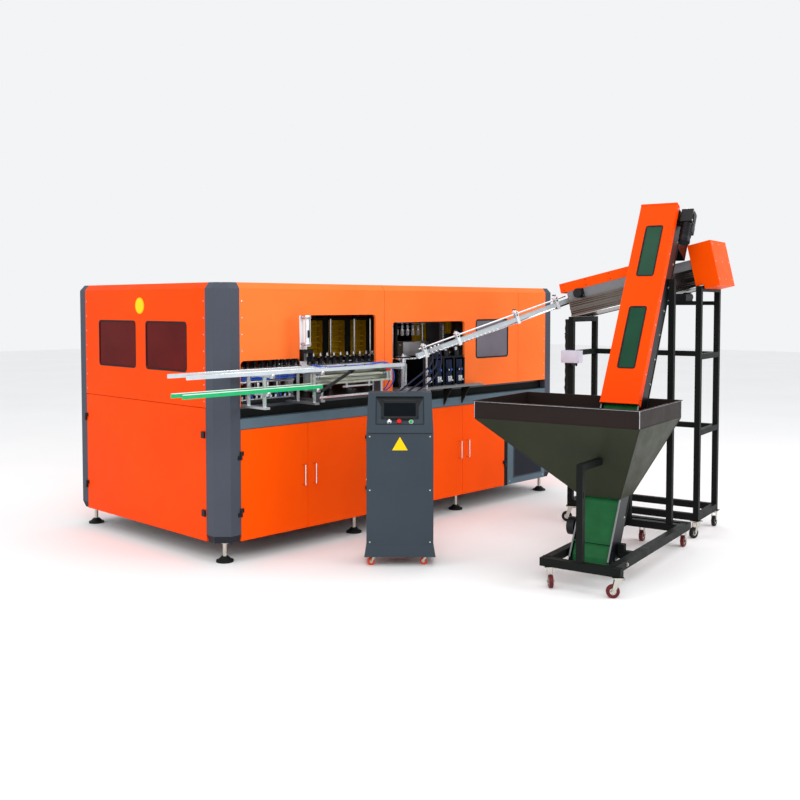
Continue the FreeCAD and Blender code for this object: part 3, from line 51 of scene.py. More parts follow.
# every group of the line is modelled in its own plan, in millimetres
CABINET = moved(-100, -100, 0)
CONSOLE = CABINET @ moved(819, -821, 0) @ turned_about("Z", -45.9)
SLOPE = CONSOLE @ moved(0, 0, 880) @ turned_about("X", math.degrees(math.atan2(240, 170)))
FEEDER = CABINET @ moved(1162, -2000, 0) @ turned_about("Z", 10.5)
ELEVATOR = FEEDER @ moved(170, 0, 0) @ turned_about("Y", 28.9)
STAND = CABINET @ moved(2695, -836, 0) @ turned_about("Z", -79.5)
SORTER = STAND @ moved(0, 0, 1610) @ turned_about("Y", -13)
CHUTE_LOW, CHUTE_HIGH = Vector((1750, -100, 1310)), Vector((2914, -757, 1756))
CHUTE_RUN = CHUTE_HIGH - CHUTE_LOW
CHUTE = (CABINET @ moved(*CHUTE_LOW)
         @ turned_about("Z", math.degrees(math.atan2(CHUTE_RUN.y, CHUTE_RUN.x)))
         @ turned_about("Y", -math.degrees(math.asin(CHUTE_RUN.z / CHUTE_RUN.length))))


# ---------------------------------------------------------------- materials
def shade(code, alpha=1.0):
    """An sRGB hex colour as the linear colour that a socket takes."""
    values = [int(code[i:i + 2], 16) / 255 for i in (1, 3, 5)]
    linear = [v / 12.92 if v <= 0.04045 else ((v + 0.055) / 1.055) ** 2.4 for v in values]
    return (*linear, alpha)


def add(tree, kind, settings=None, links=None):
    """Adds one node with its settings and its incoming links."""
    node = tree.nodes.new(kind)
    for key, value in (settings or {}).items():
        if key in node.inputs:
            node.inputs[key].default_value = value
        else:
            setattr(node, key, value)
    for key, source in (links or {}).items():
        tree.links.new(source, node.inputs[key])
    return node


def blank(name, colour):
    material = bpy.data.materials.new(name)
    material.use_nodes = True
    material.diffuse_color = shade(colour)
    tree = material.node_tree
    tree.nodes.clear()
    place = add(tree, "ShaderNodeTexCoord").outputs["Object"]
    return material, tree, place


def close(tree, shader):
    add(tree, "ShaderNodeOutputMaterial", links={"Surface": shader.outputs["BSDF"]})


def two_tones(tree, factor, low, high):
    """Colour that runs between two hex tones with a pattern."""
    mix = add(tree, "ShaderNodeMix", {"data_type": "RGBA"}, {"Factor": factor})
    mix.inputs["A"].default_value = shade(low)
    mix.inputs["B"].default_value = shade(high)
    return mix.outputs["Result"]


def powder_coat(name, low, high, roughness=0.36, peel=1.6, depth=0.05, coat=0.04):
    """Powder-coated sheet steel: even colour, a soft sheen and a faint orange peel.

    The peel's bumps are about 1.6 mm apart, drawn coarse enough to show close up."""
    material, tree, place = blank(name, high)
    drift = add(tree, "ShaderNodeTexNoise", {"Scale": 1.7, "Detail": 4.0, "Roughness": 0.55},
                {"Vector": place})
    colour = two_tones(tree, drift.outputs["Fac"], low, high)
    peel_noise = add(tree, "ShaderNodeTexNoise", {"Scale": 1000 / peel / 2, "Detail": 2.0},
                     {"Vector": place})
    bump = add(tree, "ShaderNodeBump", {"Strength": depth, "Distance": 0.0006},
               {"Height": peel_noise.outputs["Fac"]})
    smudge = add(tree, "ShaderNodeTexNoise", {"Scale": 9.0, "Detail": 6.0, "Roughness": 0.6},
                 {"Vector": place})
    gloss = add(tree, "ShaderNodeMapRange", {"From Min": 0.3, "From Max": 0.7, "To Min": roughness - 0.05,
                                             "To Max": roughness + 0.09}, {"Value": smudge.outputs["Fac"]})
    shader = add(tree, "ShaderNodeBsdfPrincipled", {"Coat Weight": coat, "Coat Roughness": 0.18,
                                                    "Specular IOR Level": 0.05},
                 {"Base Color": colour, "Roughness": gloss.outputs["Result"],
                  "Normal": bump.outputs["Normal"]})
    close(tree, shader)
    return material


def brushed_metal(name, low, high, roughness=0.3, grain=(3, 260, 260), depth=0.06, tint=None):
    """Brushed or rolled metal: fine lines along the first direction, drawn 3 to 4 mm apart."""
    material, tree, place = blank(name, high)
    stretch = add(tree, "ShaderNodeMapping", {"Scale": grain}, {"Vector": place})
    lines = add(tree, "ShaderNodeTexNoise", {"Scale": 1.0, "Detail": 3.0, "Roughness": 0.6},
                {"Vector": stretch.outputs["Vector"]})
    cloud = add(tree, "ShaderNodeTexNoise", {"Scale": 5.0, "Detail": 5.0}, {"Vector": place})
    blend = add(tree, "ShaderNodeMix", {"data_type": "FLOAT", "Factor": 0.5},
                {"A": lines.outputs["Fac"], "B": cloud.outputs["Fac"]})
    colour = two_tones(tree, blend.outputs["Result"], low, high)
    if tint:
        stain = add(tree, "ShaderNodeTexNoise", {"Scale": 2.3, "Detail": 6.0, "Roughness": 0.7},
                    {"Vector": place})
        mask = add(tree, "ShaderNodeMapRange", {"From Min": 0.52, "From Max": 0.68},
                   {"Value": stain.outputs["Fac"]})
        over = add(tree, "ShaderNodeMix", {"data_type": "RGBA"},
                   {"Factor": mask.outputs["Result"], "A": colour})
        over.inputs["B"].default_value = shade(tint)
        colour = over.outputs["Result"]
    gloss = add(tree, "ShaderNodeMapRange", {"To Min": roughness - 0.07, "To Max": roughness + 0.1},
                {"Value": lines.outputs["Fac"]})
    bump = add(tree, "ShaderNodeBump", {"Strength": depth, "Distance": 0.0004},
               {"Height": lines.outputs["Fac"]})
    shader = add(tree, "ShaderNodeBsdfPrincipled", {"Metallic": 1.0},
                 {"Base Color": colour, "Roughness": gloss.outputs["Result"],
                  "Normal": bump.outputs["Normal"]})
    close(tree, shader)
    return material


def moulded(name, low, high, roughness=0.4, grit=0.8, depth=0.08, metallic=0.0):
    """Moulded plastic, rubber or castings: a fine even grit, drawn 0.8 mm apart or coarser."""
    material, tree, place = blank(name, high)
    grit_noise = add(tree, "ShaderNodeTexNoise", {"Scale": 1000 / grit / 2, "Detail": 3.0},
                     {"Vector": place})
    drift = add(tree, "ShaderNodeTexNoise", {"Scale": 14.0, "Detail": 4.0}, {"Vector": place})
    colour = two_tones(tree, drift.outputs["Fac"], low, high)
    bump = add(tree, "ShaderNodeBump", {"Strength": depth, "Distance": 0.0005},
               {"Height": grit_noise.outputs["Fac"]})
    gloss = add(tree, "ShaderNodeMapRange", {"To Min": roughness - 0.06, "To Max": roughness + 0.08},
                {"Value": drift.outputs["Fac"]})
    shader = add(tree, "ShaderNodeBsdfPrincipled", {"Metallic": metallic, "Specular IOR Level": 0.22},
                 {"Base Color": colour, "Roughness": gloss.outputs["Result"],
                  "Normal": bump.outputs["Normal"]})
    close(tree, shader)
    return material


def tinted_sheet(name, low, high, clear=0.35, roughness=0.06):
    """Tinted acrylic sheet: smooth, partly see-through, with slow waviness in its gloss."""
    material, tree, place = blank(name, high)
    waves = add(tree, "ShaderNodeTexNoise", {"Scale": 4.0, "Detail": 2.0}, {"Vector": place})
    colour = two_tones(tree, waves.outputs["Fac"], low, high)
    bump = add(tree, "ShaderNodeBump", {"Strength": 0.04, "Distance": 0.002},
               {"Height": waves.outputs["Fac"]})
    shader = add(tree, "ShaderNodeBsdfPrincipled",
                 {"Specular IOR Level": 0.03, "Transmission Weight": clear, "Roughness": roughness},
                 {"Base Color": colour, "Normal": bump.outputs["Normal"]})
    close(tree, shader)
    return material


# powder coats of the cabinet, from the pale upper covers to the deep lower doors; the pale upper orange is
# a painted sheen, a lighter copy of the door orange standing in for glare on the upper covers, and the end
# orange is painted shade, a darker copy for the end faces
pale_orange_painted_sheen = powder_coat("powder_coat_orange_painted_sheen", "#FF6A26", "#FF7E3A", 0.34)
# a darker, redder copy of the door orange: on the cabinet's end faces it is painted shade for the side
# turned from the lamps; the elevator cover, its trim and the tail guard take it as their deep orange
deep_orange_and_painted_shade = powder_coat("powder_coat_deep_orange_and_painted_shade", "#E83E00", "#F84A00", 0.38, coat=0.0)
door_orange = powder_coat("powder_coat_door_orange", "#F54A00", "#FF5600", 0.38, coat=0.0)
post_grey = powder_coat("powder_coat_post_grey", "#40444E", "#4D525C", 0.34)
post_cap_grey = powder_coat("powder_coat_cap_grey", "#23252B", "#2D2F36", 0.4)
ledge_grey = powder_coat("powder_coat_ledge_grey", "#4F5E68", "#617682", 0.34)
table_dark = brushed_metal("rolled_steel_table", "#46484B", "#5E6064", 0.38)
frame_black = powder_coat("powder_coat_frame_black", "#121413", "#1D201E", 0.42, coat=0.0)
console_grey = powder_coat("powder_coat_console_grey", "#323A41", "#3E474F", 0.34)
panel_grey = powder_coat("powder_coat_sorter_grey", "#6E7073", "#85878A", 0.36)
gold_reflector = powder_coat("enamel_gold_reflector", "#A88410", "#D2A81C", 0.28)
blue_plate = powder_coat("powder_coat_deep_blue", "#10182B", "#1B2842", 0.34)
warning_yellow = powder_coat("enamel_yellow", "#F0B800", "#FFD21E", 0.3)
# metals
steel = brushed_metal("brushed_stainless", "#9FA3A8", "#C9CCD0", 0.26)
trough_steel = brushed_metal("rolled_trough_steel", "#3A3634", "#6A625C", 0.24, tint="#4E3A2A")
channel_steel = brushed_metal("anodised_pale_channel", "#AEB4A8", "#C6CBBF", 0.36)
chrome = brushed_metal("polished_chrome", "#D5D8DC", "#F0F2F4", 0.1, depth=0.02)
aluminium = brushed_metal("anodised_aluminium", "#A9ADB2", "#D2D5D8", 0.34)
dark_steel = brushed_metal("blackened_steel", "#17191B", "#303336", 0.36)
hopper_steel = powder_coat("painted_hopper_olive", "#262A22", "#3A3D2E", 0.36, 2.4, 0.08, 0.04)
rim_brown = powder_coat("painted_rim_brown", "#1F1817", "#2E2523", 0.34, 2.4, 0.08, 0.04)
zinc = brushed_metal("zinc_plate", "#A8A69C", "#D9D6CC", 0.24)
# plastics and rubbers
black_plastic = moulded("moulded_black_plastic", "#0C0D0F", "#1A1B1E", 0.4)
black_rubber = moulded("moulded_rubber", "#0D0D0E", "#191919", 0.62, 1.4, 0.15)
white_plastic = moulded("moulded_white_plastic", "#DDDFE2", "#F2F3F4", 0.34)
lilac_plastic = moulded("moulded_box_grey", "#C9C3D2", "#DAD5E2", 0.38)
blue_tube = moulded("nylon_tube_blue", "#0E3FA8", "#2C6BE0", 0.28)
hose_black = moulded("hose_dark_blue", "#0B0F24", "#1A2244", 0.42, 2.0, 0.2)
knob_red = moulded("moulded_red", "#B80E0A", "#D8201A", 0.26)
knob_green = moulded("moulded_green", "#0B8A3C", "#18B052", 0.26)
maroon_wheel = moulded("cast_polyurethane_maroon", "#4A1114", "#6E1C20", 0.34)
orange_wheel = moulded("cast_polyurethane_orange", "#C2330E", "#E04A1C", 0.34)
belt_green = moulded("pvc_belt_green", "#07421F", "#0B6230", 0.4, 3.0, 0.35)
window_dark = tinted_sheet("acrylic_maroon_tint", "#4A0A0A", "#661412", 0.12)
window_grey = tinted_sheet("acrylic_grey_tint", "#6D6872", "#8D8893", 0.25)
window_green = tinted_sheet("acrylic_green_tint", "#14402C", "#24543E", 0.25)
rail_green = moulded("polyethylene_green", "#159A5A", "#22B872", 0.28)
rail_clear = moulded("polyethylene_white", "#A9B4BA", "#C9D2D6", 0.3)
screen_glass = tinted_sheet("screen_glass", "#070A0D", "#11161B", 0.0, 0.08)


# ---------------------------------------------------------------- dressing the CAD nodes
def within(plan, x=(-9e9, 9e9), y=(-9e9, 9e9), z=(-9e9, 9e9), facing=None):
    """A test of a face: its middle lies in this part of a group's plan, in millimetres."""
    back = plan.inverted()
    turn = back.to_3x3()

    def test(face):
        p = back @ face.center * 1000
        if not (x[0] <= p.x <= x[1] and y[0] <= p.y <= y[1] and z[0] <= p.z <= z[1]):
            return False
        return facing is None or (turn @ face.normal).dot(Vector(facing)) > 0.7
    return test


def dress(node, finish, *patches):
    """Gives a CAD node its finish, and other finishes to the faces that the tests pick."""
    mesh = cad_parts[node].data
    mesh.materials.clear()
    finishes = [finish] + [f for f, _ in patches]
    for item in finishes:
        mesh.materials.append(item)
    for face in mesh.polygons:
        face.material_index = 0
        for number, (_, test) in enumerate(patches, 1):
            if test(face):
                face.material_index = number


dress("corner_posts", post_grey, (post_cap_grey, within(CABINET, z=(0, 184))))
# the upper covers take the pale orange, a painted sheen; the lower doors take the plain door orange; the
# left end face of the upper covers takes the darker end orange, a painted shade
dress("cabinet_covers", pale_orange_painted_sheen,
      (door_orange, within(CABINET, z=(0, 1025))),
      (deep_orange_and_painted_shade, within(CABINET, x=(-5, 25), z=(1025, 1900))))
dress("base_frame", frame_black,
      (ledge_grey, within(CABINET, y=(-2, 82), z=(881, 952))),
      (table_dark, within(CABINET, z=(1008, 1031))))
dress("window_panes", window_dark, (window_grey, within(CABINET, x=(2000, 3700))))
dress("levelling_feet", black_rubber, (zinc, within(CABINET, z=(40, 140))))
dress("vent_panel", ledge_grey, (dark_steel, within(CABINET, x=(3060, 3530), z=(150, 870), y=(1, 4.5))))
for number, (hinge_x, free_x, side) in enumerate(
        ((160, 739.5, 1), (1320, 739.5, -1), (1850, 2408, 1), (2966, 2408, -1)), 1):
    handle_x = free_x - side * 49
    dress(f"front_door_{number}", door_orange,
          (chrome, within(CABINET, x=(handle_x - 8, handle_x + 8), y=(-60, -1))),
          (black_plastic, within(CABINET, x=(hinge_x - 30, hinge_x + 30), y=(-20, -0.5))))
# the end door takes the darker orange, a painted shade for the end face
dress("end_door", deep_orange_and_painted_shade, (black_plastic, within(CABINET, x=(-30, -0.5))))
dress("door_hinges", black_plastic)
dress("heating_line", steel,
      (black_plastic, within(CABINET, y=(0, 500), z=(1272, 1420))),
      (frame_black, within(CABINET, x=(850, 1960), y=(520, 760), z=(1265, 1605))),
      (gold_reflector, within(CABINET, x=(850, 1960), y=(561, 700), z=(1288, 1582))))
dress("blow_station", steel,
      (warning_yellow, within(CABINET, x=(2395, 2580), y=(550, 580), z=(1032, 1612))),
      (panel_grey, within(CABINET, x=(2585, 3125), y=(550, 580), z=(1032, 1612))))
dress("mould_half_front", aluminium)
dress("mould_half_rear", aluminium)
dress("nozzle_carriage", steel, (white_plastic, within(CABINET, z=(1400, 1559))))
dress("outfeed_line", aluminium,
      (rail_clear, within(CABINET, y=(-310, -90), z=(1257, 1283))),
      (rail_green, within(CABINET, x=(-460, 652), y=(-265, -125), z=(1139, 1166))),
      (channel_steel, within(CABINET, x=(648, 1432), y=(-142, -58), z=(1149, 1259))),
      (white_plastic, within(CABINET, x=(590, 660), y=(-160, -90), z=(1421, 1631))))
dress("outfeed_gripper", dark_steel, (chrome, within(CABINET, z=(1401, 1600))))
dress("infeed_unit", steel,
      (panel_grey, within(CABINET, z=(1040, 1058))),
      (frame_black, within(CABINET, y=(-95, 0), z=(880, 1041))),
      (dark_steel, within(CABINET, x=(1900, 2415), y=(-22, 182), z=(1058, 1301))),
      (chrome, within(CABINET, z=(1305, 1460))))
dress("star_wheel", chrome)
dress("infeed_chute", white_plastic,
      (chrome, within(CHUTE, x=(0, 1400), y=(-15, 15), z=(40, 52))),
      (rail_clear, within(CHUTE, y=(-23.5, 23.5), z=(-20.5, 20.5))),
      (chrome, within(CABINET, z=(1050, 1280))),
      (aluminium, within(CHUTE, x=(90, 200), y=(-70, -30), z=(0, 32))))
dress("console_cabinet", console_grey,
      (black_plastic, within(SLOPE, x=(-120, 120), y=(100, 236), z=(-8.5, 0))),
      (screen_glass, within(SLOPE, x=(-105, 105), y=(117, 218), z=(-3.2, -1))),
      (chrome, within(SLOPE, x=(-100, 100), y=(55, 95), z=(-7.9, -2.5))),
      (zinc, within(CONSOLE, z=(0, 63.5))))
dress("selector_knob", black_plastic, (white_plastic, within(SLOPE, z=(0.5, 20), facing=(0, 0, 1))))
dress("stop_button", knob_red)
dress("start_button", knob_green)
dress("cart_frame", frame_black, (zinc, within(FEEDER, z=(0, 124.5))))
dress("hopper", hopper_steel, (rim_brown, within(FEEDER, z=(966, 1081))))
dress("elevator_frame", dark_steel)
dress("elevator_cover", deep_orange_and_painted_shade,
      (window_green, within(ELEVATOR, x=(-24.6, -20.5), y=(4, 136), z=(1447, 1923))),
      (window_green, within(ELEVATOR, x=(-24.6, -20.5), y=(4, 136), z=(2153, 2569))))
dress("elevator_belt", belt_green)
dress("elevator_tail_drum", steel)
dress("elevator_head_drum", steel)
dress("stand_frame", frame_black, (zinc, within(STAND, z=(0, 124.5))))
dress("sorter_housing", trough_steel,
      (door_orange, within(SORTER, x=(-60, 561), y=(50, 450), z=(198, 290))),
      (door_orange, within(SORTER, x=(999, 1200), y=(40, 460), z=(-40, 400))),
      (panel_grey, within(SORTER, x=(5, 1060), y=(50, 64), z=(130, 201))))
dress("sorter_roller_1", steel)
dress("sorter_roller_2", steel)
dress("stand_electrics", black_rubber, (lilac_plastic, within(STAND, x=(-40, 125), y=(-65, 2),
                                                              z=(1250, 1352))))
dress("drive_motors", black_plastic)
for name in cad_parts:
    if "_fork_" in name:
        dress(name, zinc)
    elif "_wheel_" in name:
        dress(name, {"console": orange_wheel, "cart": maroon_wheel,
                     "stand": black_rubber}[name.split("_")[0]])

# ---------------------------------------------------------------- air hoses
HOSES = {
    "air_hose_1": (0.644, [
        (1470, 42, 985), (1470, 0, 985), (1476, -42, 990), (1494, -80, 1008), (1524, -112, 1040),
        (1566, -138, 1080),
        (1618, -160, 1122), (1676, -178, 1162), (1738, -192, 1200), (1796, -203, 1244), (1822, -203, 1296),
        (1817, -196, 1346)]),
    "air_hose_2": (0.678, [
        (1508, 42, 985), (1508, 0, 985), (1513, -46, 984), (1530, -90, 996), (1562, -128, 1022),
        (1606, -158, 1058),
        (1660, -182, 1098), (1720, -200, 1138), (1784, -212, 1182), (1836, -219, 1236), (1856, -219, 1298),
        (1843, -211, 1356)]),
    "air_hose_3": (0.707, [
        (1546, 42, 985), (1546, 0, 985), (1551, -48, 980), (1568, -96, 986), (1602, -138, 1006),
        (1648, -170, 1038),
        (1704, -196, 1076), (1766, -216, 1116), (1826, -230, 1164), (1870, -236, 1226), (1886, -234, 1298),
        (1868, -225, 1366)]),
}


def hose(node, route):
    """A flexible hose on a smooth line through its route."""
    curve = bpy.data.curves.new(f"{node}_line", "CURVE")
    curve.dimensions = "3D"
    curve.bevel_depth = 0.0065
    curve.bevel_resolution = 5
    curve.resolution_u = 12
    spline = curve.splines.new("NURBS")
    spline.points.add(len(route) - 1)
    for point, place in zip(spline.points, route):
        point.co = (*(CABINET @ Vector([v / 1000 for v in place])), 1)
    spline.order_u = 3
    spline.use_endpoint_u = True
    piece = bpy.data.objects.new(f"hose_{node[-1]}", curve)
    bpy.context.collection.objects.link(piece)
    piece.data.materials.append(hose_black)
    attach(piece, MACHINE)
    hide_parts(node)


for node, (length, route) in HOSES.items():
    hose(node, route)


# ---------------------------------------------------------------- modelling
FACING_LEFT = turned_about("Y", -90) @ turned_about("Z", 90)


def bake():
    """Writes the active object's place, turn and scale into its mesh."""
    bpy.ops.object.transform_apply(location=True, rotation=True, scale=True)


def pick_all():
    """Selects the whole mesh in edit mode."""
    bpy.ops.mesh.select_all(action="SELECT")


def deselect():
    bpy.ops.object.select_all(action="DESELECT")


def soften(piece, edge, steps=2):
    """Rounds the sharp edges of a piece by so many millimetres."""
    rounding = piece.modifiers.new("edges", "BEVEL")
    rounding.width = edge / 1000
    rounding.segments = steps
    rounding.limit_method = "ANGLE"
    bpy.ops.object.modifier_apply(modifier=rounding.name)


def block(low, high, finish, edge=1.0):
    """A block between two corners, with its edges eased."""
    deselect()
    low, high = Vector(low) / 1000, Vector(high) / 1000
    bpy.ops.mesh.primitive_cube_add(size=1, location=(low + high) / 2, scale=high - low)
    piece = bpy.context.object
    bake()
    if edge:
        soften(piece, edge)
    piece.data.materials.append(finish)
    return piece


def bar(start, end, radius, finish, sides=20, edge=0.6):
    """A round or six-sided bar from one point to another."""
    deselect()
    start, end = Vector(start) / 1000, Vector(end) / 1000
    run = end - start
    bpy.ops.mesh.primitive_cylinder_add(vertices=sides, radius=radius / 1000, depth=run.length,
                                        location=(start + end) / 2,
                                        rotation=run.to_track_quat("Z", "Y").to_euler())
    piece = bpy.context.object
    bake()
    if edge:
        soften(piece, edge, 1)
    piece.data.materials.append(finish)
    return piece


def turned(foot, steps, finish, sides=24):
    """An upright turned part: (height, radius) steps drawn up from its foot, in millimetres."""
    deselect()
    foot = Vector(foot) / 1000
    height, radius = steps[0]
    start = foot + Vector((0, 0, height / 1000))
    bpy.ops.mesh.primitive_circle_add(vertices=sides, radius=radius / 1000, fill_type="NGON",
                                      location=start)
    piece = bpy.context.object
    bake()
    bpy.ops.object.mode_set(mode="EDIT")
    pick_all()
    for (h0, r0), (h1, r1) in zip(steps, steps[1:]):
        bpy.ops.mesh.extrude_region_move(TRANSFORM_OT_translate={"value": (0, 0, (h1 - h0) / 1000)})
        if r1 != r0:
            centre = (foot.x, foot.y, foot.z + h1 / 1000)
            bpy.ops.transform.resize(value=(r1 / r0, r1 / r0, 1), center_override=centre)
    pick_all()
    bpy.ops.mesh.normals_make_consistent(inside=False)
    bpy.ops.object.mode_set(mode="OBJECT")
    piece.data.materials.append(finish)
    return piece


def ring_frame(width, height, corner, border, depth, finish):
    """A flat frame with round corners round a window, lying on the plan and standing up by its depth."""
    deselect()
    bpy.ops.mesh.primitive_plane_add(size=1, scale=(1, 1, 1))
    piece = bpy.context.object
    piece.scale = (width / 1000, height / 1000, 1)
    bake()
    bpy.ops.object.mode_set(mode="EDIT")
    pick_all()
    if corner:
        bpy.ops.mesh.bevel(offset=corner / 1000, segments=6, affect="VERTICES")
    pick_all()
    bpy.ops.mesh.inset(thickness=border / 1000, depth=0)
    bpy.ops.mesh.delete(type="FACE")
    pick_all()
    bpy.ops.mesh.extrude_region_move(TRANSFORM_OT_translate={"value": (0, 0, depth / 1000)})
    pick_all()
    bpy.ops.mesh.normals_make_consistent(inside=False)
    bpy.ops.object.mode_set(mode="OBJECT")
    soften(piece, min(border, depth) * 0.25, 2)
    piece.data.materials.append(finish)
    return piece


def set_down(piece, plan):
    """Moves a piece by a placement, with the move kept in its mesh."""
    piece.data.transform(plan)
    return piece


def copies(piece, offsets):
    """The piece and a copy of it at each further offset, each with its own mesh."""
    made = [piece]
    for offset in offsets:
        twin = piece.copy()
        twin.data = piece.data.copy()
        twin.data.transform(Matrix.Translation(Vector(offset) / 1000))
        bpy.context.collection.objects.link(twin)
        made.append(twin)
    return made


def tube(points, radius, finish):
    """A bent tube on a smooth line through a few points."""
    curve = bpy.data.curves.new("tube", "CURVE")
    curve.dimensions = "3D"
    curve.bevel_depth = radius / 1000
    curve.bevel_resolution = 3
    curve.resolution_u = 8
    curve.use_fill_caps = True
    spline = curve.splines.new("NURBS")
    spline.points.add(len(points) - 1)
    for point, place in zip(spline.points, points):
        point.co = (*(Vector(place) / 1000), 1)
    spline.order_u = 3
    spline.use_endpoint_u = True
    holder = bpy.data.objects.new("tube_line", curve)
    bpy.context.collection.objects.link(holder)
    deselect()
    holder.select_set(True)
    bpy.context.view_layer.objects.active = holder
    bpy.ops.object.convert(target="MESH")
    piece = bpy.context.object
    piece.data.materials.clear()
    piece.data.materials.append(finish)
    for face in piece.data.polygons:
        face.use_smooth = True
    return piece


def settle(parts, name, plan, body=MACHINE, smooth=32):
    """Joins parts into one piece, sets it down in its group's place and lets it ride."""
    flat = []
    for part in parts:
        flat += part if isinstance(part, list) else [part]
    deselect()
    for part in flat:
        part.select_set(True)
    bpy.context.view_layer.objects.active = flat[0]
    if len(flat) > 1:
        bpy.ops.object.join()
    piece = bpy.context.object
    piece.name = name
    piece.data.name = name
    piece.data.transform(plan)
    bpy.ops.object.shade_smooth_by_angle(angle=math.radians(smooth))
    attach(piece, body)
    return piece


def bolt(place, direction, radius, finish=None):
    """A hexagon head on its washer; the head stands out along the direction."""
    finish = finish or zinc
    place, direction = Vector(place), Vector(direction).normalized()
    return [bar(place - direction * 0.3, place + direction * radius * 0.22, radius * 1.35, finish, 16, 0.2),
            bar(place, place + direction * radius * 0.8, radius, finish, 6, 0.3)]


def fitting(place, direction, size, body_finish, collar_finish):
    """A push-in air fitting: threaded body, hexagon and release collar."""
    place, direction = Vector(place), Vector(direction).normalized()
    return [bar(place, place + direction * size, size * 0.55, body_finish, 6, 0.3),
            bar(place + direction * size * 0.9, place + direction * size * 1.7, size * 0.42, body_finish,
                12, 0.3),
            bar(place + direction * size * 1.6, place + direction * size * 2.0, size * 0.5, collar_finish,
                12, 0.3)]


# ---------------------------------------------------------------- cabinet trim
def end_ring(y0, y1, z0, z1, border, depth, finish):
    """A frame on the left end face."""
    piece = ring_frame(y1 - y0, z1 - z0, 28, border, depth, finish)
    stand = moved(0, (y0 + y1) / 2, (z0 + z1) / 2) @ FACING_LEFT
    return set_down(piece, stand)


def front_ring(x0, x1, z0, z1, border, depth, finish, corner=28):
    """A frame on the front face."""
    piece = ring_frame(x1 - x0, z1 - z0, corner, border, depth, finish)
    return set_down(piece, moved((x0 + x1) / 2, 0, (z0 + z1) / 2) @ turned_about("X", 90))


def cabinet_trim():
    lip = 7  # how far a gasket reaches past its window
    gaskets = [end_ring(y0 - lip, y1 + lip, 1257 - lip, 1583 + lip, 11, 3.2, black_rubber)
               for y0, y1 in ((378, 873), (1020, 1520))]
    gaskets.append(front_ring(2580 - lip, 3000 + lip, 1264 - lip, 1575 + lip, 11, 3.2, black_rubber))
    settle(gaskets, "window_gaskets", CABINET)
    disc = [bar((-1.6, 955, 1696), (0.4, 955, 1696), 58, warning_yellow, 48, 0.5)]
    bpy.ops.mesh.primitive_torus_add(major_radius=0.0545, minor_radius=0.0014, major_segments=48,
                                     minor_segments=8, location=(-0.0015, 0.955, 1.696),
                                     rotation=(0, math.pi / 2, 0))
    ring = bpy.context.object
    bake()
    ring.data.materials.append(gold_reflector)
    settle(disc + [ring], "end_disc", CABINET)
    rivets = []
    up_the_edge = [(0, 0, 110 * i) for i in range(1, 7)]
    for x in (178, 3532):
        rivets += copies(bar((x, -1.4, 1068), (x, 0.3, 1068), 5, steel, 12, 0.4), up_the_edge)
    for y in (176, 1714):
        rivets += copies(bar((-1.4, y, 1068), (0.3, y, 1068), 5, steel, 12, 0.4), up_the_edge)
    settle(rivets, "cover_screws", CABINET)


def vent_mesh():
    """Perforated sheet in front of the ventilation opening, with holes 8 mm apart."""
    deselect()
    bpy.ops.mesh.primitive_grid_add(x_subdivisions=50, y_subdivisions=80, size=1, location=(0, 0, 0))
    sheet = bpy.context.object
    sheet.scale = (0.397, 0.64, 1)
    bake()
    wire = sheet.modifiers.new("holes", "WIREFRAME")
    wire.thickness = 0.0026
    wire.use_even_offset = False
    bpy.ops.object.modifier_apply(modifier=wire.name)
    sheet.data.materials.append(post_grey)
    set_down(sheet, moved(3295.5, -1.0, 520) @ turned_about("X", 90))
    border = front_ring(3097 - 8, 3494 + 8, 200 - 8, 840 + 8, 12, 3.0, post_grey, 4)
    corners = []
    for x in (3040, 3524):
        for z in (170, 520, 865):
            corners.append(bar((x, -1.6, z), (x, 0.2, z), 6, zinc, 12, 0.4))
    settle([sheet, border] + corners, "vent_mesh", CABINET)


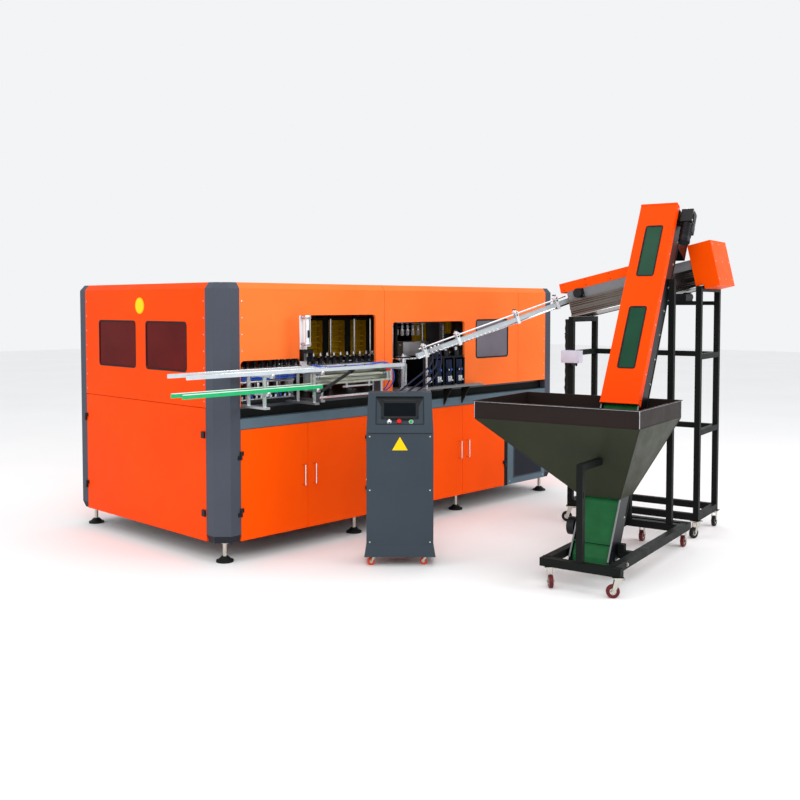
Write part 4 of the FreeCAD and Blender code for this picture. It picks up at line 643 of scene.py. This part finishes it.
# ---------------------------------------------------------------- heating line and outlet
def heating_details():
    parts = []
    for x in (932, 1189, 1446, 1702, 1880):
        parts.append(bar((x, 548, 1040), (x, 548, 1596), 9, chrome))
        parts.append(block((x - 16, 538, 1590), (x + 16, 562, 1612), dark_steel, 2))
    parts.append(block((880, 524, 1238), (1930, 546, 1262), chrome, 2))
    parts += copies(bar((905, 520, 1264), (905, 520, 1292), 11, black_plastic, 16),
                    [(52 * i, 0, 0) for i in range(1, 20)])
    parts += copies(bar((905, 520, 1290), (905, 520, 1300), 7, white_plastic, 12),
                    [(52 * i, 0, 0) for i in range(1, 20)])
    parts += copies(block((886, 500, 1196), (918, 524, 1234), dark_steel, 2),
                    [(52 * i, 0, 0) for i in range(1, 20)])
    parts += copies(bar((902, 499, 1215), (902, 492, 1215), 8, chrome, 12),
                    [(52 * i, 0, 0) for i in range(1, 20)])
    # blowers hanging over the lamp bays
    for x in (1010, 1250, 1500, 1760):
        parts.append(bar((x, 600, 1612), (x, 600, 1700), 44, dark_steel, 28, 3))
        parts.append(bar((x, 600, 1698), (x, 600, 1716), 30, steel, 24, 2))
    settle(parts, "oven_rail", CABINET)
    heads = []
    for i in range(19):
        x = 330 + 66 * i
        heads += [turned((x, 150, 1333), [(-1, 12.5), (3, 12.5), (5, 9), (17, 9), (19, 6), (22, 6)], chrome,
                         16)]
    settle(heads, "mandrel_tips", CABINET)
    strip = [block((174, 62, 1031), (676, 112, 1062), dark_steel, 3),
             block((174, 66, 1062), (676, 108, 1070), steel, 2),
             bar((178, 52, 1202), (674, 52, 1202), 5, blue_tube, 12),
             bar((178, 60, 1214), (674, 60, 1214), 5, blue_tube, 12)]
    strip += [f for i in range(12) for f in fitting((196 + 41 * i, 87, 1069), (0, -0.3, 1), 13,
                                                    white_plastic if i % 3 else blue_tube, blue_tube)]
    strip += copies(block((182, 58, 1110), (200, 92, 1180), aluminium, 2),
                    [(82 * i, 0, 0) for i in range(1, 6)])
    strip += [block((176, 60, 1178), (672, 94, 1190), steel, 2)]
    strip += copies(bar((191, 56, 1145), (191, 50, 1145), 6, white_plastic, 12),
                    [(82 * i, 0, 0) for i in range(1, 6)])
    settle(strip, "outlet_valve_strip", CABINET)


def outfeed_details():
    parts = []
    # pale edge strips along the green rails and polished ones along the upper rails
    for y in (-255, -135):
        parts.append(block((-448, y - 7.4, 1164), (648, y + 7.4, 1168), white_plastic, 0.8))
    for y in (-300, -100):
        parts.append(block((-448, y - 7.6, 1281), (1398, y + 7.6, 1285), chrome, 0.8))
    # clamp blocks and bolts where the arms take the rails
    for x in (190, 610):
        for y in (-300, -100):
            parts.append(block((x - 14, y - 12, 1232), (x + 14, y + 12, 1262), aluminium, 2))
            parts += bolt((x, y - 12, 1247), (0, -1, 0), 6)
        for y in (-255, -135):
            parts.append(block((x - 14, y - 12, 1116), (x + 14, y + 12, 1142), aluminium, 2))
            parts += bolt((x, y - 12, 1129), (0, -1, 0), 6)
        for y in (-220, -50):
            for z in (1090, 1205):
                parts += bolt((x - 12, y, z), (-1, 0, 0), 5)
    settle(parts, "outlet_rail_trim", CABINET)
    channel = [block((674, -143, 1256), (704, -57, 1262), white_plastic, 2),
               block((1412, -143, 1148), (1434, -57, 1260), aluminium, 3),
               block((1372, -146, 1218), (1420, -139, 1252), knob_red, 2)]
    for x in (700, 860, 1040, 1220, 1370):
        channel += bolt((x, -140, 1155), (0, -1, 0), 6)
        channel += bolt((x, -140, 1252), (0, -1, 0), 6)
    channel.append(tube([(706, -116, 1286), (760, -114, 1272), (860, -112, 1268), (1060, -112, 1268),
                         (1240, -114, 1270),
                         (1380, -120, 1290), (1450, -130, 1250), (1490, -120, 1160), (1500, -60, 1080),
                         (1505, -10, 1060)],
                        5, blue_tube))
    channel.append(tube([(700, -90, 1290), (760, -88, 1270), (940, -86, 1267), (1180, -86, 1267),
                         (1330, -92, 1280),
                         (1420, -108, 1270), (1470, -104, 1190), (1484, -50, 1100), (1488, -5, 1064)], 5,
                         blue_tube))
    for x in (800, 990, 1180):
        channel.append(block((x, -124, 1257), (x + 14, -78, 1276), black_plastic, 2))
    channel += [f for x in (700, 1340) for f in fitting((x, -150, 1204), (0, -1, 0), 12, chrome, blue_tube)]
    settle(channel, "transfer_channel_trim", CABINET)
    # the black lever and its polished rod
    lever = [bar((720, -166, 1110), (980, -180, 1232), 11, black_plastic),
             bar((980, -180, 1232), (1010, -178, 1246), 15, dark_steel),
             bar((716, -166, 1108), (716, -120, 1108), 14, dark_steel),
             bar((1010, -182, 1246), (1010, -120, 1246), 9, chrome),
             bar((716, -150, 1066), (1190, -150, 1066), 8, chrome)]
    settle(lever, "outlet_lever", CABINET)
    # cylinder trim over the gripper
    x, y = 625, -122
    trim = [block((x - 26, y - 24, 1424), (x + 26, y + 22, 1446), aluminium, 3),
            block((x - 26, y - 24, 1606), (x + 26, y + 22, 1632), aluminium, 3)]
    for dx in (-20, 20):
        trim.append(bar((x + dx, y - 18, 1440), (x + dx, y - 18, 1612), 4, chrome, 12))
    trim += fitting((x - 24, y, 1434), (-1, 0, 0), 10, chrome,
                    blue_tube) + fitting((x - 24, y, 1620), (-1, 0, 0), 10, chrome, blue_tube)
    trim += [block((x - 6, y - 30, 1480), (x + 8, y - 20, 1530), black_plastic, 2)]
    settle(trim, "gripper_cylinder_trim", CABINET)


# ---------------------------------------------------------------- blowing station
MOULD_ENDS = ((2015, -1), (2325, 1))


def station_details():
    # the small orange block takes the pale orange of the painted sheen
    parts = [bar((1960, 372, 1604), (2620, 372, 1604), 15, chrome),
             bar((1960, 330, 1560), (2620, 330, 1560), 9, steel),
             block((2440, 300, 1556), (2560, 420, 1626), pale_orange_painted_sheen, 4),
             block((2500, 250, 1460), (2552, 330, 1560), gold_reflector, 3)]
    for x in (1990, 2350, 2560):
        parts.append(bar((x, 372, 1604), (x, 372, 1700), 10, chrome))
    parts += [block((2330, 150, 1300), (2352, 190, 1560), steel, 3),
              block((1640, 200, 1031), (1672, 232, 1560), frame_black, 2),
              block((1830, 205, 1031), (1856, 231, 1560), frame_black, 2)]
    parts += copies(block((1660, 236, 1212), (1700, 268, 1250), dark_steel, 2),
                    [(56 * i, 0, 0) for i in range(1, 5)])
    parts += copies(bar((1680, 234, 1262), (1680, 226, 1262), 9, chrome, 12),
                    [(56 * i, 0, 0) for i in range(1, 5)])
    parts.append(block((1640, 232, 1250), (1960, 262, 1262), chrome, 2))
    for i in range(5):
        x = 1666 + 60 * i
        parts += fitting((x, 240, 1262), (0.1, -0.5, 1), 12, chrome, white_plastic)
    settle(parts, "clamp_piping", CABINET)
    heads = []
    for i in range(5):
        x = 2042 + 64 * i
        heads += [bar((x, 400, 1492), (x, 400, 1500), 17.5, chrome, 20),
                  bar((x, 400, 1535), (x, 400, 1543), 12, black_plastic, 20)]
        heads += fitting((x, 385, 1520), (0, -1, 0), 9, chrome, blue_tube)
    settle(heads, "nozzle_collars", CABINET, "nozzle_carriage")
    for side, name in ((-1, "mould_half_front"), (1, "mould_half_rear")):
        middle = 400 + side * 60
        plate = []
        for x, way in MOULD_ENDS:
            for z in (1116, 1374):
                plate += bolt((x, middle, z), (way, 0, 0), 9)
        settle(plate, f"{name}_bolts", CABINET, name)


# ---------------------------------------------------------------- infeed
def infeed_details():
    parts = []
    for i in range(4):
        x0 = 1910 + 126 * i
        parts.append(block((x0 + 22, -16, 1066), (x0 + 92, -10, 1262), blue_plate if i else frame_black, 2))
        parts.append(block((x0 + 34, -30, 1086), (x0 + 80, -12, 1132), aluminium, 3))
        parts += fitting((x0 + 46, -28, 1120), (0, -1, 0), 10, chrome, white_plastic)
        parts += fitting((x0 + 68, -28, 1098), (0, -1, 0), 10, chrome, white_plastic)
        parts += [block((x0 + 28, -26, 1168), (x0 + 86, -12, 1196), dark_steel, 3),
                  bar((x0 + 40, -26, 1182), (x0 + 40, -34, 1182), 8, zinc, 12),
                  bar((x0 + 72, -26, 1182), (x0 + 72, -34, 1182), 8, blue_tube, 12)]
        parts += fitting((x0 + 56, 20, 1292), (0.2, -0.4, 1), 14, dark_steel, zinc)
        parts += fitting((x0 + 30, 60, 1292), (-0.3, -0.2, 1), 13, chrome, white_plastic)
        parts += [block((x0 + 12, -6, 1292), (x0 + 62, 46, 1336), dark_steel, 4),
                  bar((x0 + 40, 10, 1336), (x0 + 40, 10, 1362), 13, chrome, 20)]
    for x, z in ((2176, 1020), (2176, 985), (2182, 950), (2396, 1020), (2396, 985), (2402, 950)):
        parts += bolt((x, -(z - 896) * 0.5, z), (-1, 0, 0), 5, zinc)
    for x in (1680, 1760, 1860, 2020, 2240, 2460, 2530):
        parts += bolt((x, -72, 1057), (0, 0, 1), 6, zinc)
    settle(parts, "infeed_valves", CABINET)
    turntable = [bar((1720, 20, 1296), (1720, 20, 1303), 62, dark_steel, 40, 1),
                 bar((1720, 20, 1303), (1720, 20, 1311), 34, chrome, 32, 1)]
    for i in range(6):
        turn = math.radians(60 * i)
        turntable += bolt((1720 + 48 * math.cos(turn), 20 + 48 * math.sin(turn), 1303), (0, 0, 1), 5, zinc)
    settle(turntable, "star_wheel_plate", CABINET, "star_wheel")


def chute_details():
    length = CHUTE_RUN.length
    parts = []
    for s in (60, 345, 860, length - 190):
        for side in (-1, 1):
            parts += bolt((s + 12, side * 28, 60), (0, side, 0), 6, black_plastic)
            parts += bolt((s + 12, side * 28, 38), (0, side, 0), 5, black_plastic)
        parts.append(block((s - 3, -33, 57), (s + 27, 33, 66), white_plastic, 3))
        for y in (-18, 18):
            parts.append(bar((s + 12, y, 64), (s + 12, y, 82), 6, white_plastic, 14))
            parts.append(bar((s + 12, y, 80), (s + 12, y, 86), 8, black_plastic, 14))
    parts.append(block((2, -24.5, -22), (length - 6, -22.5, -10), chrome, 0.6))
    for s in (112, 143, 174):
        parts += [bar((s, -51, 30), (s, -51, 40), 9, chrome, 6),
                  bar((s, -51, 1.5), (s, -51, -8), 9, chrome, 6)]
    settle(parts, "chute_clips_trim", CHUTE)


cabinet_trim()
vent_mesh()
heating_details()
outfeed_details()
station_details()
infeed_details()
chute_details()


# ---------------------------------------------------------------- console
def console_details():
    screen = [set_down(ring_frame(244, 137, 5, 12, 3.5, black_plastic), moved(0, 168.5, -3.5))]
    frame_edge = set_down(ring_frame(316, 210, 3, 3, 3.2, frame_black), moved(0, 160, -1.6))
    settle(screen + [frame_edge], "screen_bezel", SLOPE)
    face = []
    # plain yellow triangle, folded in 1 mm sheet
    deselect()
    bpy.ops.mesh.primitive_cylinder_add(vertices=3, radius=0.058, depth=0.0016, location=(0, 0, 0))
    triangle = bpy.context.object
    soften(triangle, 0.5, 1)
    triangle.data.materials.append(warning_yellow)
    set_down(triangle, moved(0, -0.4, 790) @ turned_about("X", 90))
    face.append(triangle)
    for x in (-196, 196):
        for z in (160, 500, 850):
            face.append(bar((x, -1.5, z), (x, 0.3, z), 5, zinc, 14, 0.4))
    face.append(block((-206, -1.4, 868), (206, 0.6, 871), frame_black, 0.4))
    face.append(block((216.5, 120, 420), (220.5, 150, 520), black_plastic, 2))
    face.append(bar((-218, 60, 560), (-221, 60, 560), 11, chrome, 20))
    for z in range(200, 320, 20):
        face.append(block((217, 60, z), (219.5, 240, z + 8), frame_black, 0.8))
        face.append(block((-219.5, 60, z), (-217, 240, z + 8), frame_black, 0.8))
    face.append(block((-180, 296.5, 200), (180, 302, 1050), console_grey, 2))
    for z in range(240, 400, 20):
        face.append(block((-120, 301.5, z), (120, 303.5, z + 8), frame_black, 0.8))
    settle(face, "console_trim", CONSOLE)
    knob = set_down(bar((0, 0, 14.0), (0, 0, 19.2), 2.2, white_plastic, 12), moved(-69, 84, -7))
    settle([knob], "selector_mark", SLOPE, "selector_knob")


# ---------------------------------------------------------------- hopper and cart
def cart_details():
    parts = []
    # the rim's corner strips and edge lines, and the seams down the funnel's corners; the pale steel line
    # along the top of the two front edges is a painted highlight
    x0, x1, y0, y1 = 190, 960, -265, 840
    for x, y in ((x0, y0), (x0, y1), (x1, y0), (x1, y1)):
        sx = 1 if x == x1 else -1
        sy = 1 if y == y1 else -1
        parts.append(block((x + sx * 3 - 2, y + sy * 3 - 2, 968), (x + sx * 3 + 2, y + sy * 3 + 2, 1076),
                           steel, 1))
    # the top lines in pale steel are a painted highlight along the front lip; the lower lines take the
    # rim's brown
    for z in (968, 1073):
        parts.append(block((x0 - 5, y0 - 5, z), (x0 - 2.5, y1 + 5, z + 3), steel if z > 1000 else rim_brown,
                           0.8))
        parts.append(block((x0 - 5, y0 - 5, z), (x1 + 5, y0 - 2.5, z + 3), steel if z > 1000 else rim_brown,
                           0.8))
    for a, b in (((x0, y0, 965), (430, -59, 490)), ((x0, y1, 965), (430, 199, 490)),
                 ((x1, y0, 965), (640, -59, 490)), ((x1, y1, 965), (640, 199, 490))):
        a, b = Vector(a), Vector(b)
        out = Vector((1 if a.x > 500 else -1, 1 if a.y > 200 else -1, -1)).normalized() * 1.2
        parts.append(bar(a + out, b + out, 4.2, hopper_steel, 10, 0))
    settle(parts, "hopper_seams", FEEDER)
    welds = []
    for y in (-170, 247):
        for x in (27, 1398):
            welds.append(bar((x, y - 25, 176), (x, y + 25, 176), 3.4, dark_steel, 10, 1))
    for y in (-170, 247):
        welds += bolt((200, y + (-26 if y < 0 else 26), 150), (0, -1 if y < 0 else 1, 0), 9)
    welds += [block((-3, -3, 560), (3, 43, 600), dark_steel, 1)]
    settle(welds, "cart_welds", FEEDER)


def elevator_details():
    y0, y1 = -59, 199
    parts = []
    for z in range(480, 2700, 185):
        parts += bolt((118, y0 - 0.2, z), (0, -1, 0), 6)
        parts += bolt((118, y1 + 0.2, z), (0, 1, 0), 6)
    # return-side edge angle and belt guide strips
    for low, high in ((y0 - 3, y0 + 1), (y1 - 1, y1 + 3)):
        parts.append(block((138, low, 480), (151, high, 2700), frame_black, 1.5))
    for low, high in ((y0 - 2, y0 + 7), (y1 - 7, y1 + 2)):
        parts.append(block((-4, low, 150), (5, high, 1196), panel_grey, 1.5))
    for z in (190, 2680):
        for y, side in ((y0 - 22, -1), (y1 + 22, 1)):
            for dx, dz in ((-30, -30), (30, -30), (-30, 30), (30, 30)):
                parts += bolt((72 + dx, y + (14 if side < 0 else -14), z + dz), (0, side, 0), 5.5)
    settle(parts, "elevator_bolts", ELEVATOR)
    cover = []
    for low, high in ((1457, 1913), (2163, 2559)):
        ring = ring_frame(126, high - low + 16, 18, 9, 3.2, black_rubber)
        cover.append(set_down(ring, moved(-26, 70, (low + high) / 2) @ FACING_LEFT))
    for z in range(1240, 2740, 185):
        cover.append(bar((8, y0 - 2.2, z), (8, y0 - 4, z), 6, zinc, 12, 0.4))
        cover.append(bar((8, y1 + 2.2, z), (8, y1 + 4, z), 6, zinc, 12, 0.4))
    cover.append(block((-28.5, y0 - 4, 2735), (30, y1 + 4, 2752), deep_orange_and_painted_shade, 3))
    cover.append(block((-28.5, y0 - 4, 1196), (-20, y1 + 4, 1210), deep_orange_and_painted_shade, 3))
    settle(cover, "elevator_cover_trim", ELEVATOR)


# ---------------------------------------------------------------- sorter and stand
def sorter_details():
    parts = []
    for z, depth in ((18, 4), (32, 2), (74, 4), (90, 2), (104, 3)):
        parts.append(block((8, 57 - depth, z), (1052, 59.5, z + 7), trough_steel, 1.5))
    for y in (50, 442):
        parts.append(block((4, y, -5), (1056, y + 8, 0), chrome, 1))
    settle(parts, "trough_ribs", SORTER)
    hood = []
    for x in (-40, 150, 350, 545):
        hood.append(block((x, 56.5, 199.5), (x + 8, 58, 271), door_orange, 0.6))
        for z in (214, 256):
            hood.append(bar((x + 22, 57.8, z), (x + 22, 56.6, z), 4, dark_steel, 12, 0.3))
    hood.append(block((548, 57, 268), (562, 443, 274), door_orange, 2))
    hood.append(block((998, 48, 298), (1012, 452, 310), door_orange, 3))
    for z in (20, 150, 280):
        for y in (80, 250, 420):
            hood.append(bar((1169.5, y, z), (1171.4, y, z), 6, zinc, 12, 0.4))
    settle(hood, "sorter_cover_trim", SORTER)
    # lumpy wrapped cables down the left front post, with their ties
    wrap = []
    for k, (low, high) in enumerate(((300, 1252), (1350, 1588))):
        steps = []
        for i, z in enumerate(range(low, high + 1, 34)):
            steps.append((z - low, 19.5 + (3.4, -1.2, 2.2, -0.6, 4.1, 0.4)[(i + k) % 6]))
        wrap.append(turned((-15, 20, low), steps, black_rubber, 14))
        for z in range(low + 120, high, 210):
            wrap.append(turned((-15, 20, z), [(0, 23.5), (3, 25), (9, 25), (12, 23.5)], black_plastic, 16))
    settle(wrap, "cable_wrap", STAND, smooth=60)
    box_trim = [block((-33, -62.5, 1257), (118, -59.5, 1345), lilac_plastic, 3)]
    for x in (-24, 109):
        for z in (1266, 1336):
            box_trim.append(bar((x, -63.5, z), (x, -60, z), 4, zinc, 10, 0.3))
    for x in (10, 45, 80):
        box_trim += [bar((x, -30, 1253), (x, -30, 1236), 10, black_plastic, 6),
                     bar((x, -30, 1238), (x, -30, 1228), 7, black_plastic, 12)]
    settle(box_trim, "junction_box_trim", STAND)
    welds = []
    for x in (20, 1010):
        for y in (20, 480):
            for z in (175, 750, 1305):
                welds.append(turned((x, y, z - 4), [(0, 20.5), (1, 22), (5, 22), (6, 20.5)], frame_black,
                                    4))
    settle(welds, "stand_weld_beads", STAND)


def motor(place, direction, radius, length, finish=black_plastic):
    """Fins and fan cover round a motor's round body."""
    place, direction = Vector(place), Vector(direction).normalized()
    parts = []
    for i in range(int(length * 0.7 // 12)):
        start = place + direction * (length * 0.12 + 12 * i)
        parts.append(bar(start, start + direction * 4, radius + 3.5, finish, 24, 0.8))
    parts.append(bar(place + direction * length * 0.86, place + direction * (length + 2), radius + 2.5,
                     dark_steel, 28, 3))
    return parts


def motor_details():
    parts = motor((110, 54, 164), (0, -1, 0), 34, 54)
    parts += bolt((86, 54, 141), (0, -1, 0), 4.5) + bolt((134, 54, 141), (0, -1, 0), 4.5)
    settle(parts, "knob_motor_fins", SORTER)
    big = motor((840, 222, 1761), (0, 1, 0), 30, 106)
    big += [block((778, 80, 1778), (902, 200, 1784), dark_steel, 2),
            block((810, 100, 1712), (870, 170, 1731), dark_steel, 3)]
    settle(big, "roller_motor_fins", STAND)
    head = motor((72, -123, 2632), (0, 0, -1), 38, 152)
    head += [block((58, -168, 2560), (116, -120, 2622), black_plastic, 4),
             bar((72, -164, 2680), (72, -170, 2680), 30, dark_steel, 28, 2)]
    for dx, dz in ((-34, -38), (34, -38), (-34, 38), (34, 38)):
        head += bolt((72 + dx, -164, 2680 + dz), (0, -1, 0), 6)
    head += [block((110, -150, 2640), (160, -90, 2700), dark_steel, 4),
             bar((60, -110, 2728), (60, -110, 2752), 12, chrome, 16)]
    settle(head, "head_motor_fins", ELEVATOR)
    guard = [bar((72, 268, 372), (72, 271.5, 372), 50, deep_orange_and_painted_shade, 40, 1)]
    for i in range(5):
        turn = math.radians(72 * i + 20)
        guard += bolt((72 + 46 * math.cos(turn), 269.5, 372 + 46 * math.sin(turn)), (0, 1, 0), 4)
    settle(guard, "tail_guard_trim", ELEVATOR)


# ---------------------------------------------------------------- casters
def caster_details():
    groups = {
        "console": (CONSOLE, (64, 25, 20, 18), 0.512, {
            "front_left": (-173, 45, 200, True), "front_right": (173, 45, 160, True),
            "rear_left": (-173, 255, 0, False), "rear_right": (173, 255, 0, False)}),
        "cart": (FEEDER, (125, 40, 26, 28), 1.0, {
            "front_left": (0, 215, 215, True), "front_right": (0, -215, 120, True),
            "rear_left": (1425, 150, 0, False), "rear_right": (1425, -150, 0, False)}),
        "stand": (STAND, (125, 40, 26, 28), 1.0, {
            "front_left": (20, 20, 200, True), "front_right": (1010, 20, 250, True),
            "rear_left": (20, 480, 90, False), "rear_right": (1010, 480, 90, False)}),
    }
    for group, (plan, (height, radius, width, trail), scale, spots) in groups.items():
        for corner, (x, y, heading, swivel) in spots.items():
            t = trail if swivel else 0
            here = plan @ moved(x, y, 0) @ turned_about("Z", heading)
            half = width / 2
            hub = []
            for side in (-1, 1):
                hub.append(bar((t, side * (half - 3.5), radius), (t, side * (half - 1.2), radius),
                               radius * 0.5, zinc, 24, 0.5))
                for i in range(5):
                    turn = math.radians(72 * i)
                    px, pz = t + radius * 0.36 * math.cos(turn), radius + radius * 0.36 * math.sin(turn)
                    hub.append(bar((px, side * (half - 1.4), pz), (px, side * (half - 0.6), pz),
                                   radius * 0.06, black_plastic, 8, 0))
            settle(hub, f"{group}_hub_{corner}", here, f"{group}_wheel_{corner}")
            leg = half + 2 + 3 * scale + 0.5
            nuts = []
            for side in (-1, 1):
                nuts.append(bar((t, side * (leg + 0.5), radius), (t, side * (leg + 4.5 * scale), radius),
                                8.5 * scale, zinc, 6, 0.4))
            if swivel:
                drop = height - 14.5 * scale
                nuts.append(block((-19 * scale - 20 * scale, -half - 1, drop - 3),
                                  (-19 * scale + 1, half + 1, drop + 2 * scale),
                                  knob_red if group == "cart" else black_plastic, 1.2))
            settle(nuts, f"{group}_caster_trim_{corner}", here,
                   f"{group}_fork_{corner}" if swivel else MACHINE)


console_details()
cart_details()
elevator_details()
sorter_details()
motor_details()
caster_details()


# ---------------------------------------------------------------- floor, light and camera
def floor():
    bpy.ops.mesh.primitive_plane_add(size=60, location=(1.5, 0, 0))
    ground = bpy.context.object
    ground.name = "floor"
    material, tree, place = blank("painted_floor", "#F4F4F4")
    drift = add(tree, "ShaderNodeTexNoise", {"Scale": 0.6, "Detail": 2.0}, {"Vector": place})
    colour = two_tones(tree, drift.outputs["Fac"], "#F1F1F1", "#F8F8F8")
    close(tree, add(tree, "ShaderNodeBsdfPrincipled", {"Roughness": 0.85}, {"Base Color": colour}))
    ground.data.materials.append(material)


def lamp(name, place, aim, size, power):
    light = bpy.data.lights.new(name, "AREA")
    light.shape = "RECTANGLE"
    light.size, light.size_y = size
    light.energy = power
    holder = bpy.data.objects.new(name, light)
    bpy.context.collection.objects.link(holder)
    holder.location = place
    holder.rotation_mode = "QUATERNION"
    holder.rotation_quaternion = (Vector(aim) - Vector(place)).to_track_quat("-Z", "Y")


bpy.ops.object.select_all(action="DESELECT")
floor()
lamp("key_softbox", (-4.5, -6.0, 5.5), (1.6, -0.3, 0.9), (4.5, 3.5), 265)
lamp("front_softbox", (4.6, -7.0, 3.6), (2.0, 0, 1.0), (4.5, 3.0), 175)
lamp("left_softbox", (-6.5, 1.5, 3.2), (0, 0.9, 1.0), (3.5, 3.0), 88)
lamp("top_softbox", (1.8, 0.2, 6.5), (1.8, 0.2, 0), (6.0, 5.0), 110)

world = bpy.data.worlds.new("studio")
bpy.context.scene.world = world
world.use_nodes = True
world.node_tree.nodes["Background"].inputs["Color"].default_value = shade("#F5F6F8")
world.node_tree.nodes["Background"].inputs["Strength"].default_value = 0.98

camera_data = bpy.data.cameras.new("camera")
camera_data.sensor_width = 36
camera_data.lens = 44.23
camera_data.shift_y = -0.0617
camera = bpy.data.objects.new("camera", camera_data)
bpy.context.collection.objects.link(camera)
camera.location = (-3.829, -5.324, 1.702)
camera.rotation_euler = (math.radians(90 - 2.667), 0, math.radians(-45.934))
bpy.context.scene.camera = camera
bpy.context.scene.view_settings.view_transform = "Standard"
